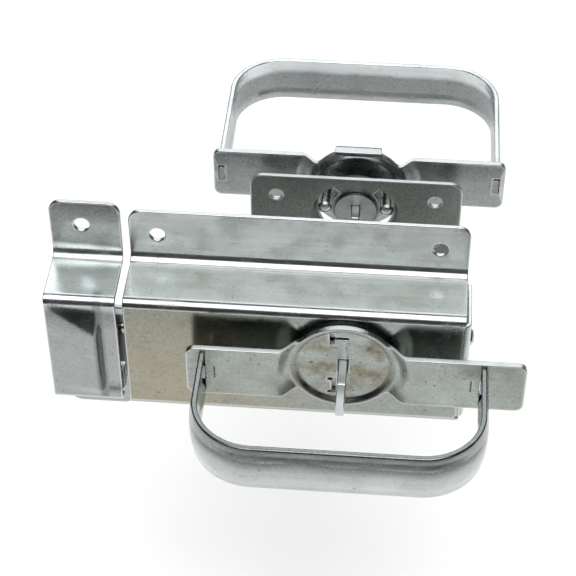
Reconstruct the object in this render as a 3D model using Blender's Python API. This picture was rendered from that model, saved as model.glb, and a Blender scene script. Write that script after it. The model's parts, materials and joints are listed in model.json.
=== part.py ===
"""Gravity gate latch: a surface latch case with a dropping latch bar, a strike, a flat spindle
through the gate, and a pull handle on each side of the gate.

Sizes are in millimetres and become metres when a mesh is made. X runs along the case, -Y is the
front, +Z is up. The functions count from the spindle's axis, the line X = 0, Z = 0, and from
Y = 0, the face of the gate that the case and the strike are screwed to. Each mesh is then moved
so that the origin is on the back of the case's upper flange, midway between its screw holes.
"""

import math

import bmesh
import bpy
from mathutils import Vector
from mathutils.geometry import delaunay_2d_cdt

MM = 0.001
ORIGIN = Vector((-23.0, 0.0, 43.6))
GAP = 0.3                     # free space between pieces that touch

# Case and strike: pressed from one sheet thickness, the same depth
SHEET = 2.0
DEPTH = 31.5                  # mounting face to front face
BEND = 4.0                    # outside radius of a bend
FOOT_BEND = 4.5               # visible radius where a wall meets its flange
CASE_X = (-100.0, 56.5)
CASE_Z = -4.7                 # the case's middle is a little below the spindle
CASE_HALF = 33.4              # half the height of the front face
CASE_FLANGE = 61.7            # flange edge above and below the case's middle
CASE_HOLES_X = (-87.0, 41.0)  # 128 mm apart
CASE_HOLE_Z = 48.3
STRIKE_X = (-136.0, -103.0)
STRIKE_Z = -4.2
STRIKE_HALF = 32.7
STRIKE_FLANGE = 64.5
STRIKE_HOLE_X = -121.4
STRIKE_HOLE_Z = 51.3
SCREW_HOLE = 7.0
CORNER = 6.0
END_RIVET = (-16.0, 4.0)      # Y and Z of the rivet in the end wall
RELIEF = 4.0                  # how far the strike's front is pressed out
LIP_TOP = -22.5               # top of the strike's upturned lip

# Latch bar and its pivot
PIVOT = (42.0, -2.5)
BAR_Y = (-22.5, -18.5)
BAR_Z = (-19.0, 12.0)
PIN_R = 4.0
LIFT_TURN = 35.0              # handle turn that lifts the bar fully, in degrees

# Spindle: a flat bar
SPINDLE_X = 4.0
SPINDLE_Z = 7.1
SPINDLE_Y = (-63.6, 94.0)
GROOVES_Y = (-50.0, 14.0, 24.0, 34.0, 44.0, 54.0, 64.0)

# Rear plate on the far face of the gate
GATE = 67.0                   # gate thickness between the two mounting faces
PLATE_HALF_X = 52.0
PLATE_HALF_Z = 25.0
PLATE_DISH = 8.0

# Handles
BAR_T = 2.8
ARM_HALF = 14.2
DISC_R = 24.5
RIM_RISE = 1.5
ARM_RISE = 7.2
FRONT_BAR_X = (-70.5, 82.0)
REAR_BAR_X = (-74.0, 74.0)
FRONT_FLOOR = DEPTH + 0.9     # back of the front disc, in front of the gate
REAR_FLOOR = GATE + 21.7      # gate side of the rear disc
FRONT_GRIP_HALF = 64.4
REAR_GRIP_HALF = 71.0
FRONT_GRIP_OUT = 55.0         # bar to the middle of the strip
REAR_GRIP_OUT = 81.6
GRIP_R = 27.0
GRIP_T = 2.6
GRIP_HALF_Z = 12.4
GRIP_CROWN = 1.0
TAB_HALF_Z = 4.3
STOP_R = 15.5                 # radius of the rear stop rivets
SLOT_TURN = 12.0              # free angle of a kidney slot past the rivet
TAB_LENGTH = 7.5              # flat length of the stop tab on the rear disc

SEGMENTS = 40


def clear_scene():
    """Remove every object already in the file."""
    for thing in list(bpy.data.objects):
        bpy.data.objects.remove(thing, do_unlink=True)


def metal(name, shade, roughness):
    """A plain metal material of one grey."""
    material = bpy.data.materials.new(name)
    material.use_nodes = True
    shader = material.node_tree.nodes["Principled BSDF"]
    shader.inputs["Base Color"].default_value = (shade[0], shade[1], shade[2], 1.0)
    shader.inputs["Metallic"].default_value = 1.0
    shader.inputs["Roughness"].default_value = roughness
    return material


def make_object(name, points, faces, material, smooth=False):
    """One closed mesh object from points in millimetres."""
    mesh = bmesh.new()
    corners = [mesh.verts.new((Vector(point) - ORIGIN) * MM) for point in points]
    for face in faces:
        if len(set(face)) > 2:
            mesh.faces.new([corners[index] for index in face])
    bmesh.ops.remove_doubles(mesh, verts=mesh.verts, dist=1e-6)
    bmesh.ops.dissolve_degenerate(mesh, edges=mesh.edges, dist=1e-7)
    bmesh.ops.recalc_face_normals(mesh, faces=mesh.faces)
    data = bpy.data.meshes.new(name)
    mesh.to_mesh(data)
    mesh.free()
    data.materials.append(material)
    for polygon in data.polygons:
        polygon.use_smooth = smooth
    thing = bpy.data.objects.new(name, data)
    bpy.context.scene.collection.objects.link(thing)
    return thing


def circle(x, z, radius, count=28):
    """Points round a circle."""
    turns = [2 * math.pi * index / count for index in range(count)]
    return [(x + radius * math.cos(turn), z + radius * math.sin(turn)) for turn in turns]


def arc(x, z, radius, start, end, count):
    """Points along an arc, both ends included, angles in degrees."""
    turns = [math.radians(start + (end - start) * index / count) for index in range(count + 1)]
    return [(x + radius * math.cos(turn), z + radius * math.sin(turn)) for turn in turns]


def rectangle(x_low, x_high, z_low, z_high, radius=0.0, count=5):
    """A rectangle with rounded corners, going round once."""
    if radius == 0.0:
        return [(x_low, z_low), (x_high, z_low), (x_high, z_high), (x_low, z_high)]
    points = arc(x_low + radius, z_low + radius, radius, 180, 270, count)
    points += arc(x_high - radius, z_low + radius, radius, 270, 360, count)
    points += arc(x_high - radius, z_high - radius, radius, 0, 90, count)
    points += arc(x_low + radius, z_high - radius, radius, 90, 180, count)
    return points


def inside(point, loop):
    """Whether a point is inside a loop."""
    found = False
    for index, (x1, z1) in enumerate(loop):
        x2, z2 = loop[index - 1]
        if (z1 > point[1]) != (z2 > point[1]):
            if point[0] < (x2 - x1) * (point[1] - z1) / (z2 - z1) + x1:
                found = not found
    return found


def triangulate(outline, holes, guides):
    """Triangles that fill an outline less its holes, following the guide lines."""
    points = []
    edges = []
    for loop in [outline] + holes:
        first = len(points)
        points += [Vector(point) for point in loop]
        edges += [(first + index, first + (index + 1) % len(loop)) for index in range(len(loop))]
    for line in guides:
        first = len(points)
        points += [Vector(point) for point in line]
        edges += [(first + index, first + index + 1) for index in range(len(line) - 1)]
    flat, _, triangles, _, _, _ = delaunay_2d_cdt(points, edges, [], 0, 1e-4)
    flat = [(point.x, point.y) for point in flat]
    kept = []
    for triangle in triangles:
        middle = [sum(flat[index][axis] for index in triangle) / 3 for axis in (0, 1)]
        if inside(middle, outline) and not any(inside(middle, hole) for hole in holes):
            kept.append(tuple(triangle))
    return flat, kept


def sheet(name, outline, holes, guides, place, thickness, material):
    """A sheet of even thickness. place gives the visible surface's point and outward normal."""
    flat, triangles = triangulate(outline, holes, guides)
    points = []
    for x, z in flat:
        point, normal = place(x, z)
        points.append(Vector(point))
        points.append(Vector(point) - Vector(normal) * thickness)
    faces = []
    sides = {}
    for triangle in triangles:
        faces.append([2 * index for index in triangle])
        faces.append([2 * index + 1 for index in reversed(triangle)])
        for index, start in enumerate(triangle):
            side = (start, triangle[(index + 1) % 3])
            sides[side] = sides.get(side, 0) + 1
    for start, end in sides:
        if (end, start) not in sides:
            faces.append([2 * end, 2 * start, 2 * start + 1, 2 * end + 1])
    used = sorted({index for face in faces for index in face})
    number = {index: position for position, index in enumerate(used)}
    faces = [[number[index] for index in face] for face in faces]
    return make_object(name, [points[index] for index in used], faces, material)


def turned(name, stations, material, axis="Y", centre=(0.0, 0.0), bore=None, segments=SEGMENTS):
    """A round solid from (distance along the axis, radius) stations, with an optional bore loop."""
    def point(a, b, along):
        if axis == "Y":
            return (centre[0] + a, along, centre[1] + b)
        return (along, centre[0] + a, centre[1] + b)

    points = []
    faces = []
    for along, radius in stations:
        points += [point(a, b, along) for a, b in circle(0, 0, radius, segments)]
    for ring in range(len(stations) - 1):
        low = ring * segments
        for index in range(segments):
            after = (index + 1) % segments
            high = low + segments
            faces.append([low + index, low + after, high + after, high + index])
    holes = [bore] if bore else []
    for along, radius in (stations[0], stations[-1]):
        flat, triangles = triangulate(circle(0, 0, radius, segments), holes, [])
        first = len(points)
        points += [point(a, b, along) for a, b in flat]
        faces += [[first + index for index in triangle] for triangle in triangles]
    for index in range(len(bore) if bore else 0):
        (a1, b1), (a2, b2) = bore[index - 1], bore[index]
        first = len(points)
        near, far = stations[0][0], stations[-1][0]
        points += [point(a1, b1, near), point(a2, b2, near), point(a2, b2, far), point(a1, b1, far)]
        faces.append([first, first + 1, first + 2, first + 3])
    return make_object(name, points, faces, material)


def bent_profile(middle, half, flange, bend_steps=5):
    """Stations down a hat profile's visible side: length along it, point and outward normal."""
    def bend(y, z, radius, start, end, sign):
        stations = []
        for index in range(bend_steps + 1):
            turn = math.radians(start + (end - start) * index / bend_steps)
            out = (math.cos(turn), math.sin(turn))
            stations.append(((y + radius * out[0], z + radius * out[1]), (sign * out[0], sign * out[1])))
        return stations

    foot = -SHEET - FOOT_BEND
    front = -DEPTH + BEND
    stations = [((-SHEET, flange), (-1.0, 0.0))]
    stations += bend(foot, half + FOOT_BEND, FOOT_BEND, 0, -90, -1)
    stations += bend(front, half - BEND, BEND, 90, 180, 1)
    stations += bend(front, -half + BEND, BEND, 180, 270, 1)
    stations += bend(foot, -half - FOOT_BEND, FOOT_BEND, 90, 0, -1)
    stations.append(((-SHEET, -flange), (-1.0, 0.0)))
    lengths = [0.0]
    for (before, _), (after, _) in zip(stations, stations[1:]):
        lengths.append(lengths[-1] + math.dist(before, after))
    placed = [((y, z + middle), normal) for (y, z), normal in stations]
    return [(length, point, normal) for length, (point, normal) in zip(lengths, placed)]


def along_profile(profile, length):
    """The point and normal at a length along a profile."""
    for (start, point1, normal1), (end, point2, normal2) in zip(profile, profile[1:]):
        if length <= end or end == profile[-1][0]:
            share = (length - start) / (end - start)
            point = [point1[axis] + (point2[axis] - point1[axis]) * share for axis in (0, 1)]
            normal = [normal1[axis] + (normal2[axis] - normal1[axis]) * share for axis in (0, 1)]
            return point, normal
    return profile[-1][1], profile[-1][2]


def fold_end(x, edge, point, normal):
    """Fold what lies past edge inwards, away from the outward normal, round a bend."""
    start = edge - BEND
    if x <= start:
        return (x, point[0], point[1]), (0.0, normal[0], normal[1])
    turn = min((x - start) / BEND, math.pi / 2)
    past = max(x - start - BEND * math.pi / 2, 0.0)
    inward = BEND * (1 - math.cos(turn)) + past
    out_x = start + BEND * math.sin(turn)
    place = (out_x, point[0] - normal[0] * inward, point[1] - normal[1] * inward)
    facing = (math.sin(turn), normal[0] * math.cos(turn), normal[1] * math.cos(turn))
    return place, facing


def fold_guides(edge, low, high):
    """Guide lines across a folded tab's bend."""
    steps = [edge - BEND + BEND * math.pi / 2 * index / 5 for index in range(6)]
    return [[(x, low), (x, high)] for x in steps]


def build_case(material):
    """The latch case: a hat section with a folded end wall."""
    profile = bent_profile(CASE_Z, CASE_HALF, CASE_FLANGE)
    total = profile[-1][0]
    face_low, face_high = profile[12][0], profile[13][0]
    left, right = CASE_X[0], CASE_X[1] - SHEET - GAP
    end_length = BEND * (math.pi / 2 - 2) + DEPTH - SHEET - GAP
    tab_low, tab_high = face_low + 0.4, face_high - 0.4

    def place(x, length):
        point, normal = along_profile(profile, length)
        if tab_low - 0.01 <= length <= tab_high + 0.01 and x > CASE_X[1] - BEND:
            return fold_end(x, CASE_X[1], point, normal)
        return (x, point[0], point[1]), (0.0, normal[0], normal[1])

    tab_end = CASE_X[1] + end_length
    notch = CASE_X[1] - BEND
    outline = arc(left + CORNER, CORNER, CORNER, 180, 270, 6)
    outline += arc(right - CORNER, CORNER, CORNER, 270, 360, 6)
    outline += [(right, tab_low - 1.2), (notch, tab_low - 1.2), (notch, tab_low), (tab_end, tab_low)]
    outline += [(tab_end, tab_high), (notch, tab_high), (notch, tab_high + 1.2), (right, tab_high + 1.2)]
    outline += arc(right - CORNER, total - CORNER, CORNER, 0, 90, 6)
    outline += arc(left + CORNER, total - CORNER, CORNER, 90, 180, 6)
    holes = []
    for x in CASE_HOLES_X:
        for length in (CASE_FLANGE - CASE_HOLE_Z, total - CASE_FLANGE + CASE_HOLE_Z):
            holes.append(circle(x, length, SCREW_HOLE / 2))
    middle = (face_low + face_high) / 2 + CASE_Z
    holes.append(circle(0.0, middle, 6.0))
    holes.append(circle(PIVOT[0], middle - PIVOT[1], PIN_R + GAP))
    rivet_x = CASE_X[1] + BEND * (math.pi / 2 - 1) + END_RIVET[0] + DEPTH - BEND
    holes.append(circle(rivet_x, middle - END_RIVET[1], 2.5 + GAP, 20))
    guides = [[(left - 1, length), (right + 1, length)] for length, _, _ in profile[1:-1]]
    guides += fold_guides(CASE_X[1], tab_low, tab_high)
    return sheet("case", outline, holes, guides, place, SHEET, material)


def build_strike(material):
    """The strike: a hat section with a pressed front and an upturned lip for the latch bar."""
    profile = bent_profile(STRIKE_Z, STRIKE_HALF, STRIKE_FLANGE)
    total = profile[-1][0]
    face_low, face_high = profile[12][0], profile[13][0]
    wall_low, wall_high = profile[18][0], profile[19][0]
    left, right = STRIKE_X
    width = right - left

    def relief(x, z):
        share = (x - left) / width
        if share < 0.68:
            height = RELIEF * share / 0.68
        else:
            height = RELIEF * max(1 - (share - 0.68) / 0.09, 0.0)
        z -= STRIKE_Z
        top = STRIKE_HALF - 6.0 - 15.0 * min(share / 0.68, 1.0)
        rise = min(max((STRIKE_HALF - BEND - z) / (STRIKE_HALF - BEND - top), 0.0), 1.0)
        fall = min(max((z + STRIKE_HALF - BEND) / 7.0, 0.0), 1.0)
        return height * rise * fall

    def place(x, length):
        point, normal = along_profile(profile, length)
        if wall_low + 2.9 <= length <= wall_high - 0.9 and x > right - BEND:
            return fold_end(x, right, point, normal)
        if face_low < length < face_high:
            point = (point[0] - relief(x, point[1]), point[1])
        return (x, point[0], point[1]), (0.0, normal[0], normal[1])

    lip = LIP_TOP + STRIKE_HALF - STRIKE_Z
    lip_end = right + BEND * (math.pi / 2 - 1) + lip - BEND
    notch = right - BEND
    edge = right - 0.4
    lip_low, lip_high = wall_low + 3.0, wall_high - 1.0
    outline = arc(left + CORNER, CORNER, CORNER, 180, 270, 6)
    outline += arc(edge - CORNER, CORNER, CORNER, 270, 360, 6)
    outline += [(edge, lip_low - 1.2), (notch, lip_low - 1.2), (notch, lip_low), (lip_end, lip_low)]
    outline += [(lip_end, lip_high), (notch, lip_high), (notch, lip_high + 1.2), (edge, lip_high + 1.2)]
    outline += arc(edge - CORNER, total - CORNER, CORNER, 0, 90, 6)
    outline += arc(left + CORNER, total - CORNER, CORNER, 90, 180, 6)
    up = STRIKE_FLANGE - STRIKE_HOLE_Z
    holes = [circle(STRIKE_HOLE_X, y, SCREW_HOLE / 2) for y in (up, total - up)]
    guides = [[(left - 1, length), (right + 1, length)] for length, _, _ in profile[1:-1]]
    rows = 18
    for row in range(1, rows):
        length = face_low + (face_high - face_low) * row / rows
        guides.append([(left - 1, length), (right + 1, length)])
    for share in (0.12, 0.24, 0.36, 0.48, 0.60, 0.68, 0.71, 0.74, 0.77, 0.88):
        x = left + width * share
        guides.append([(x, face_low), (x, face_high)])
    guides += fold_guides(right, lip_low, lip_high)
    return sheet("strike", outline, holes, guides, place, SHEET, material)


def flat_place(y, sign):
    """Place a plate's points on the plane at y, facing the way that sign says."""
    return lambda x, z: ((x, y, z), (0.0, sign, 0.0))


def build_back_plate(material):
    """The plate that closes the case's back, with a tab riveted to the end wall."""
    inner = CASE_HALF - SHEET - GAP
    edge = CASE_X[1] - SHEET - GAP
    tab = edge + BEND * (math.pi / 2 - 1) + 24.0
    low, high = CASE_Z - inner, CASE_Z + inner
    outline = [(CASE_X[0] + 1.5, low), (edge - BEND, low), (edge - BEND, -10.0), (tab, -10.0)]
    outline += [(tab, 10.0), (edge - BEND, 10.0), (edge - BEND, high), (CASE_X[0] + 1.5, high)]

    def place(x, z):
        if x <= edge - BEND:
            return (x, -0.5, z), (0.0, 1.0, 0.0)
        (out_x, y, _), (face_x, face_y, _) = fold_end(x, edge, (-0.5, z), (1.0, 0.0))
        return (out_x, y, z), (face_x, face_y, 0.0)

    rivet_x = edge + BEND * (math.pi / 2 - 1) - 0.5 - BEND - END_RIVET[0]
    holes = [circle(0.0, 0.0, 6.0), circle(PIVOT[0], PIVOT[1], PIN_R + GAP)]
    holes.append(circle(rivet_x, END_RIVET[1], 2.5 + GAP, 20))
    guides = fold_guides(edge, -10.0, 10.0)
    return sheet("case_back_plate", outline, holes, guides, place, 1.5, material)


def build_end_rivet(material):
    """The rivet that holds the back plate's tab to the case's end wall."""
    outer = CASE_X[1]
    inner = outer - SHEET - GAP - 1.5
    stations = [(outer + 2.3, 1.0), (outer + 2.1, 2.4), (outer + 1.4, 3.6), (outer + GAP, 4.2)]
    stations += [(outer + GAP, 2.5), (inner - GAP, 2.5), (inner - GAP, 3.6), (inner - 1.2, 3.0)]
    return turned("case_end_rivet", stations, material, axis="X", centre=END_RIVET, segments=24)


def build_pivot_pin(material):
    """The latch bar's pivot: a shouldered pin riveted into the front wall and the back plate."""
    front = -DEPTH
    stations = [(front - 1.6, 1.5), (front - 1.2, 3.6), (front - GAP, 5.2), (front - GAP, PIN_R)]
    stations += [(BAR_Y[0] - GAP - 1.0, PIN_R), (BAR_Y[1] + GAP, PIN_R), (BAR_Y[1] + GAP, 7.0)]
    stations += [(-2.0 - GAP, 7.0), (-2.0 - GAP, PIN_R), (-0.2, PIN_R)]
    return turned("latch_pivot_pin", stations, material, centre=PIVOT)


def build_pivot_washer(material):
    """The spacer that keeps the latch bar back from the case's front wall."""
    low, high = -DEPTH + SHEET + GAP, BAR_Y[0] - GAP
    outline = circle(PIVOT[0], PIVOT[1], 7.0, 32)
    holes = [circle(PIVOT[0], PIVOT[1], PIN_R + GAP, 28)]
    return sheet("latch_pivot_spacer", outline, holes, [], flat_place(low, -1.0), high - low, material)


def latch_outline():
    """The latch bar's side view, with its hook at the left."""
    low, high = BAR_Z
    nose = [(-107.0, low), (-107.0, -29.0), (-108.0, -30.0), (-112.0, -30.0), (-123.0, -18.0)]
    nose += [(-124.0, -14.0), (-124.0, high - 9.0), (-119.0, high)]
    right = PIVOT[0] + 7.8
    return nose + [(right - 6.0, high), (right, high - 6.0), (right, low + 6.0), (right - 6.0, low)]


def build_latch_bar(material):
    """The latch bar, with a window round the spindle and its lift cam."""
    window = rectangle(-13.0, 13.0, -12.8, 5.0 + GAP, 1.5, 3)
    holes = [window, circle(PIVOT[0], PIVOT[1], PIN_R + GAP)]
    holes.append(circle(-102.5, 3.5, 2.0 + GAP, 20))
    holes.append(circle(-117.0, 3.5, 2.0 + GAP, 20))
    thickness = BAR_Y[1] - BAR_Y[0]
    return sheet("latch_bar", latch_outline(), holes, [], flat_place(BAR_Y[0], -1.0), thickness, material)


def build_nose_plate(material):
    """The doubling plate riveted behind the latch bar's hook."""
    outline = [point for point in latch_outline()[:8] if point[0] < -104.0]
    outline = [(-96.0, BAR_Z[0] + 1.0), (-107.0, BAR_Z[0] + 1.0)] + outline[1:] + [(-96.0, BAR_Z[1])]
    holes = [circle(-102.5, 3.5, 2.0 + GAP, 20), circle(-117.0, 3.5, 2.0 + GAP, 20)]
    front = BAR_Y[1] + GAP
    return sheet("latch_nose_plate", outline, holes, [], flat_place(front, -1.0), 2.5, material)


def build_nose_rivets(material):
    """Two domed rivets through the latch bar and its nose plate."""
    back = BAR_Y[1] + GAP + 2.5
    for name, x in (("latch_nose_rivet", -102.5), ("latch_hook_rivet", -117.0)):
        stations = [(BAR_Y[0] - 1.9, 0.8), (BAR_Y[0] - 1.6, 2.0), (BAR_Y[0] - 0.9, 2.9)]
        stations += [(BAR_Y[0] - GAP, 3.3), (BAR_Y[0] - GAP, 2.0), (back + GAP, 2.0)]
        stations += [(back + GAP, 3.2), (back + 1.2, 2.4)]
        turned(name, stations, material, centre=(x, 3.5), segments=20)


def spindle_bore():
    """The rectangular hole that fits the flat spindle."""
    x, z = SPINDLE_X / 2 + GAP, SPINDLE_Z / 2 + GAP
    return [(-x, -z), (x, -z), (x, z), (-x, z)]


def build_lift_cam(material):
    """The flat-topped block on the spindle that lifts the latch bar when it turns."""
    outline = rectangle(-7.0, 7.0, -5.0, 5.0, 1.2, 3)
    thickness = BAR_Y[1] - BAR_Y[0]
    return sheet("lift_cam", outline, [spindle_bore()], [], flat_place(BAR_Y[0], -1.0), thickness, material)


def build_spindle(material):
    """The flat spindle, with grooves where it can be broken to length."""
    low, high = SPINDLE_Y
    half = SPINDLE_Z / 2
    lower = [(low, -half + 1.4), (low + 0.8, -half)]
    upper = []
    for y in GROOVES_Y:
        lower += [(y - 0.9, -half), (y, -half + 0.8), (y + 0.9, -half)]
        upper += [(y - 0.9, half), (y, half - 0.8), (y + 0.9, half)]
    lower.append((high, -half))
    upper = [(low, half)] + upper + [(high, half)]
    outline = lower + upper[::-1]

    def place(y, z):
        return (SPINDLE_X / 2, y, z), (1.0, 0.0, 0.0)

    return sheet("spindle", outline, [], [], place, SPINDLE_X, material)


def smooth_step(value):
    """A step from 0 to 1 with soft ends."""
    value = min(max(value, 0.0), 1.0)
    return value * value * (3 - 2 * value)


def handle_rise(x, z):
    """How far a handle's sheet stands out from its disc's floor."""
    radius = math.hypot(x, z)
    rim = RIM_RISE * smooth_step((radius - 20.5) / 2.6)
    arm = ARM_RISE * smooth_step((radius - 24.0) / 8.0)
    return rim + arm


def handle_outline(x_low, x_high, tab):
    """A flat bar with a round disc at its middle. tab adds a tab on top of the disc."""
    blend = 5.0
    centre_z = ARM_HALF + blend
    centre_x = math.sqrt((DISC_R + blend) ** 2 - centre_z ** 2)
    touch = math.degrees(math.atan2(centre_z, centre_x))
    right = [(x_high, 0.0)] + arc(x_high - 4.0, ARM_HALF - 4.0, 4.0, 0, 90, 5)
    right += arc(centre_x, centre_z, blend, 270, 180 + touch, 5)
    top = arc(0.0, 0.0, DISC_R, touch, 180 - touch, 24)[1:-1]
    left = [(-x, z) for x, z in reversed(arc(centre_x, centre_z, blend, 270, 180 + touch, 5))]
    left += [(x_low + 4.0 - (x - x_high + 4.0), z) for x, z in
             reversed(arc(x_high - 4.0, ARM_HALF - 4.0, 4.0, 0, 90, 5))]
    upper = right + top + left + [(x_low, 0.0)]
    lower = [(x, -z) for x, z in reversed(upper[1:-1])]
    if tab:
        kept_right = [point for point in upper if point[1] < 22.0 or point[0] > 11.5]
        kept_left = [point for point in kept_right if point[0] < 0.0]
        kept_right = [point for point in kept_right if point[0] >= 0.0]
        top_z = DISC_R + TAB_LENGTH
        upper = kept_right + [(11.5, 21.9), (11.5, top_z), (-11.5, top_z), (-11.5, 21.9)] + kept_left
    return upper + lower


def piercings():
    """Two bracket-shaped piercings in the front disc, beside the spindle."""
    lower = [(-6.8, -18.5), (-3.2, -18.5), (-3.2, -8.5), (-6.8, -8.5), (-6.8, -10.2), (-4.9, -10.2)]
    lower += [(-4.9, -16.8), (-6.8, -16.8)]
    upper = [(-6.2, 13.0), (-4.2, 13.0), (-4.2, 15.8), (2.4, 15.8), (2.4, 17.4), (-4.2, 17.4)]
    upper += [(-4.2, 19.2), (-6.2, 19.2)]
    return [lower, upper]


def build_handle_bar(name, sign, floor, span, grip_half, tab, material):
    """A handle's bar: a pressed disc at the middle and two arms. sign is -1 in front, 1 behind."""
    def place(x, z):
        top = DISC_R - 1.5
        if tab and z > top and abs(x) <= 11.51:
            turn = min((z - top) / 3.5, math.pi / 2)
            past = max(z - top - 3.5 * math.pi / 2, 0.0)
            y = floor + BAR_T + RIM_RISE - 3.5 * (1 - math.cos(turn)) - past
            return (x, y, top + 3.5 * math.sin(turn)), (0.0, math.cos(turn), math.sin(turn))
        y = sign * (floor + BAR_T + handle_rise(x, z))
        return (x, y, z), (0.0, sign, 0.0)

    slots = []
    for x in (-1, 1):
        centre = x * (grip_half - GRIP_T / 2)
        half_x, half_z = GRIP_T / 2 + GAP, TAB_HALF_Z + GAP
        slots.append(rectangle(centre - half_x, centre + half_x, -half_z, half_z))
    holes = [spindle_bore()] + slots
    if not tab:
        holes += piercings()
    if tab:
        for x in (-STOP_R, STOP_R):
            holes.append(circle(x, 0.0, 2.4 + GAP, 20))
    guides = []
    for radius in (20.5, 21.15, 21.8, 22.45, 23.1, 25.0, 26.5, 28.0, 29.5, 31.0, 33.0, 35.0, 36.0):
        ring = circle(0.0, 0.0, radius, 56)
        if radius > 24.5:
            reach = math.degrees(math.asin(ARM_HALF / radius)) + 3
            guides.append(arc(0.0, 0.0, radius, -reach, reach, 12))
            guides.append(arc(0.0, 0.0, radius, 180 - reach, 180 + reach, 12))
        else:
            guides.append(ring + ring[:1])
    if tab:
        for index in range(6):
            z = DISC_R - 1.5 + 3.5 * math.pi / 2 * index / 5
            guides.append([(-11.5, z), (11.5, z)])
    outline = handle_outline(span[0], span[1], tab)
    return sheet(name, outline, holes, guides, place, BAR_T, material)


def grip_path(half_x, reach):
    """Stations along a grip's centre line: X, distance out, and the outward direction."""
    half = half_x - GRIP_T / 2
    stations = [((half, 0.0), (1.0, 0.0)), ((half, reach - GRIP_R), (1.0, 0.0))]
    for index in range(1, 13):
        turn = math.radians(90 * index / 12)
        out = (math.cos(turn), math.sin(turn))
        stations.append(((half - GRIP_R + GRIP_R * out[0], reach - GRIP_R + GRIP_R * out[1]), out))
    mirrored = [((-x, y), (-a, b)) for (x, y), (a, b) in reversed(stations)]
    return stations + mirrored


def build_grip(name, sign, base, half_x, reach, material):
    """A U-shaped grip bent from crowned strip, its ends staked through the bar."""
    across = 8
    rows = [GRIP_HALF_Z * (2 * index / across - 1) for index in range(across + 1)]

    def section(centre, out, narrow):
        loop = []
        for side, heights in ((1, rows), (-1, rows[::-1])):
            for z in heights:
                level = z * TAB_HALF_Z / GRIP_HALF_Z if narrow else z
                crown = 0.0 if narrow else GRIP_CROWN * (1 - (z / GRIP_HALF_Z) ** 2)
                edge = 0.75 if abs(z) > GRIP_HALF_Z - 0.01 else 1.0
                offset = side * GRIP_T / 2 * edge + crown
                x = centre[0] + out[0] * offset
                y = sign * (base + centre[1] + out[1] * offset)
                loop.append((x, y, level))
        return loop

    path = grip_path(half_x, reach)
    rings = []
    tab_end = -BAR_T - 0.5
    leg = half_x - GRIP_T / 2
    rings.append(section((leg, tab_end), (1.0, 0.0), True))
    rings.append(section((leg, GAP), (1.0, 0.0), True))
    rings.append(section((leg, GAP), (1.0, 0.0), False))
    rings += [section(centre, out, False) for centre, out in path[1:-1]]
    rings.append(section((-leg, GAP), (-1.0, 0.0), False))
    rings.append(section((-leg, GAP), (-1.0, 0.0), True))
    rings.append(section((-leg, tab_end), (-1.0, 0.0), True))
    count = len(rings[0])
    points = [point for ring in rings for point in ring]
    faces = []
    for ring in range(len(rings) - 1):
        for index in range(count):
            after = (index + 1) % count
            low, high = ring * count, (ring + 1) * count
            faces.append([low + index, low + after, high + after, high + index])
    for ring in (0, len(rings) - 1):
        first = ring * count
        for index in range(across):
            other = count - 1 - index
            faces.append([first + index, first + index + 1, first + other - 1, first + other])
    return make_object(name, points, faces, material)


def build_front_hub(material):
    """The flanged sleeve that carries the front handle in the case's front wall."""
    inside_wall = -DEPTH + SHEET
    stations = [(-FRONT_FLOOR + GAP, 9.5), (-DEPTH - GAP, 9.5), (-DEPTH - GAP, 5.7)]
    stations += [(inside_wall + GAP, 5.7), (inside_wall + GAP, 8.5), (inside_wall + 2.0, 8.5)]
    return turned("front_hub_sleeve", stations, material, bore=spindle_bore())


def build_rear_hub(material):
    """The flanged sleeve between the rear handle's disc and the rear plate's dished floor."""
    floor = GATE + SHEET + PLATE_DISH
    stations = [(floor - SHEET - GAP - 1.8, 10.3), (floor - SHEET - GAP, 10.3), (floor - SHEET - GAP, 5.6)]
    stations += [(REAR_FLOOR - GAP, 5.6)]
    return turned("rear_hub_sleeve", stations, material, bore=spindle_bore())


def kidney(side):
    """A kidney slot round a stop rivet, on the right for 1 and the left for -1."""
    reach = LIFT_TURN + SLOT_TURN
    inner, outer = STOP_R - 3.0, STOP_R + 3.0
    loop = arc(0.0, 0.0, outer, -reach, reach, 14)
    loop += arc(0.0, 0.0, inner, reach, -reach, 12)
    return [(side * x, z) for x, z in loop]


def build_rear_plate(material):
    """The rear plate: four screw holes and a round dish with two kidney slots in its floor."""
    def place(x, z):
        radius = math.hypot(x, z)
        sunk = PLATE_DISH * (1 - smooth_step((radius - 19.6) / 3.0))
        return (x, GATE + sunk, z), (0.0, -1.0, 0.0)

    outline = rectangle(-PLATE_HALF_X, PLATE_HALF_X, -PLATE_HALF_Z, PLATE_HALF_Z, 6.5, 6)
    holes = [circle(0.0, 0.0, 6.0), kidney(1), kidney(-1)]
    for x in (-39.0, 39.0):
        for z in (-13.0, 13.0):
            holes.append(circle(x, z, 3.1, 24))
    guides = []
    for radius in (19.6, 20.0, 20.5, 21.1, 21.7, 22.2, 22.6):
        ring = circle(0.0, 0.0, radius, 56)
        guides.append(ring + ring[:1])
    return sheet("rear_plate", outline, holes, guides, place, SHEET, material)


def build_stop_rivets(material):
    """The two rivets on the rear handle's disc that run in the rear plate's kidney slots."""
    floor = GATE + PLATE_DISH
    back = REAR_FLOOR + BAR_T
    for name, x in (("rear_stop_rivet_left", -STOP_R), ("rear_stop_rivet_right", STOP_R)):
        stations = [(floor - 1.7, 1.0), (floor - 1.4, 2.4), (floor - GAP, 3.7)]
        stations += [(floor - GAP, 2.4), (back + GAP, 2.4), (back + GAP, 3.4), (back + 1.2, 2.4)]
        turned(name, stations, material, centre=(x, 0.0), segments=20)


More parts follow.
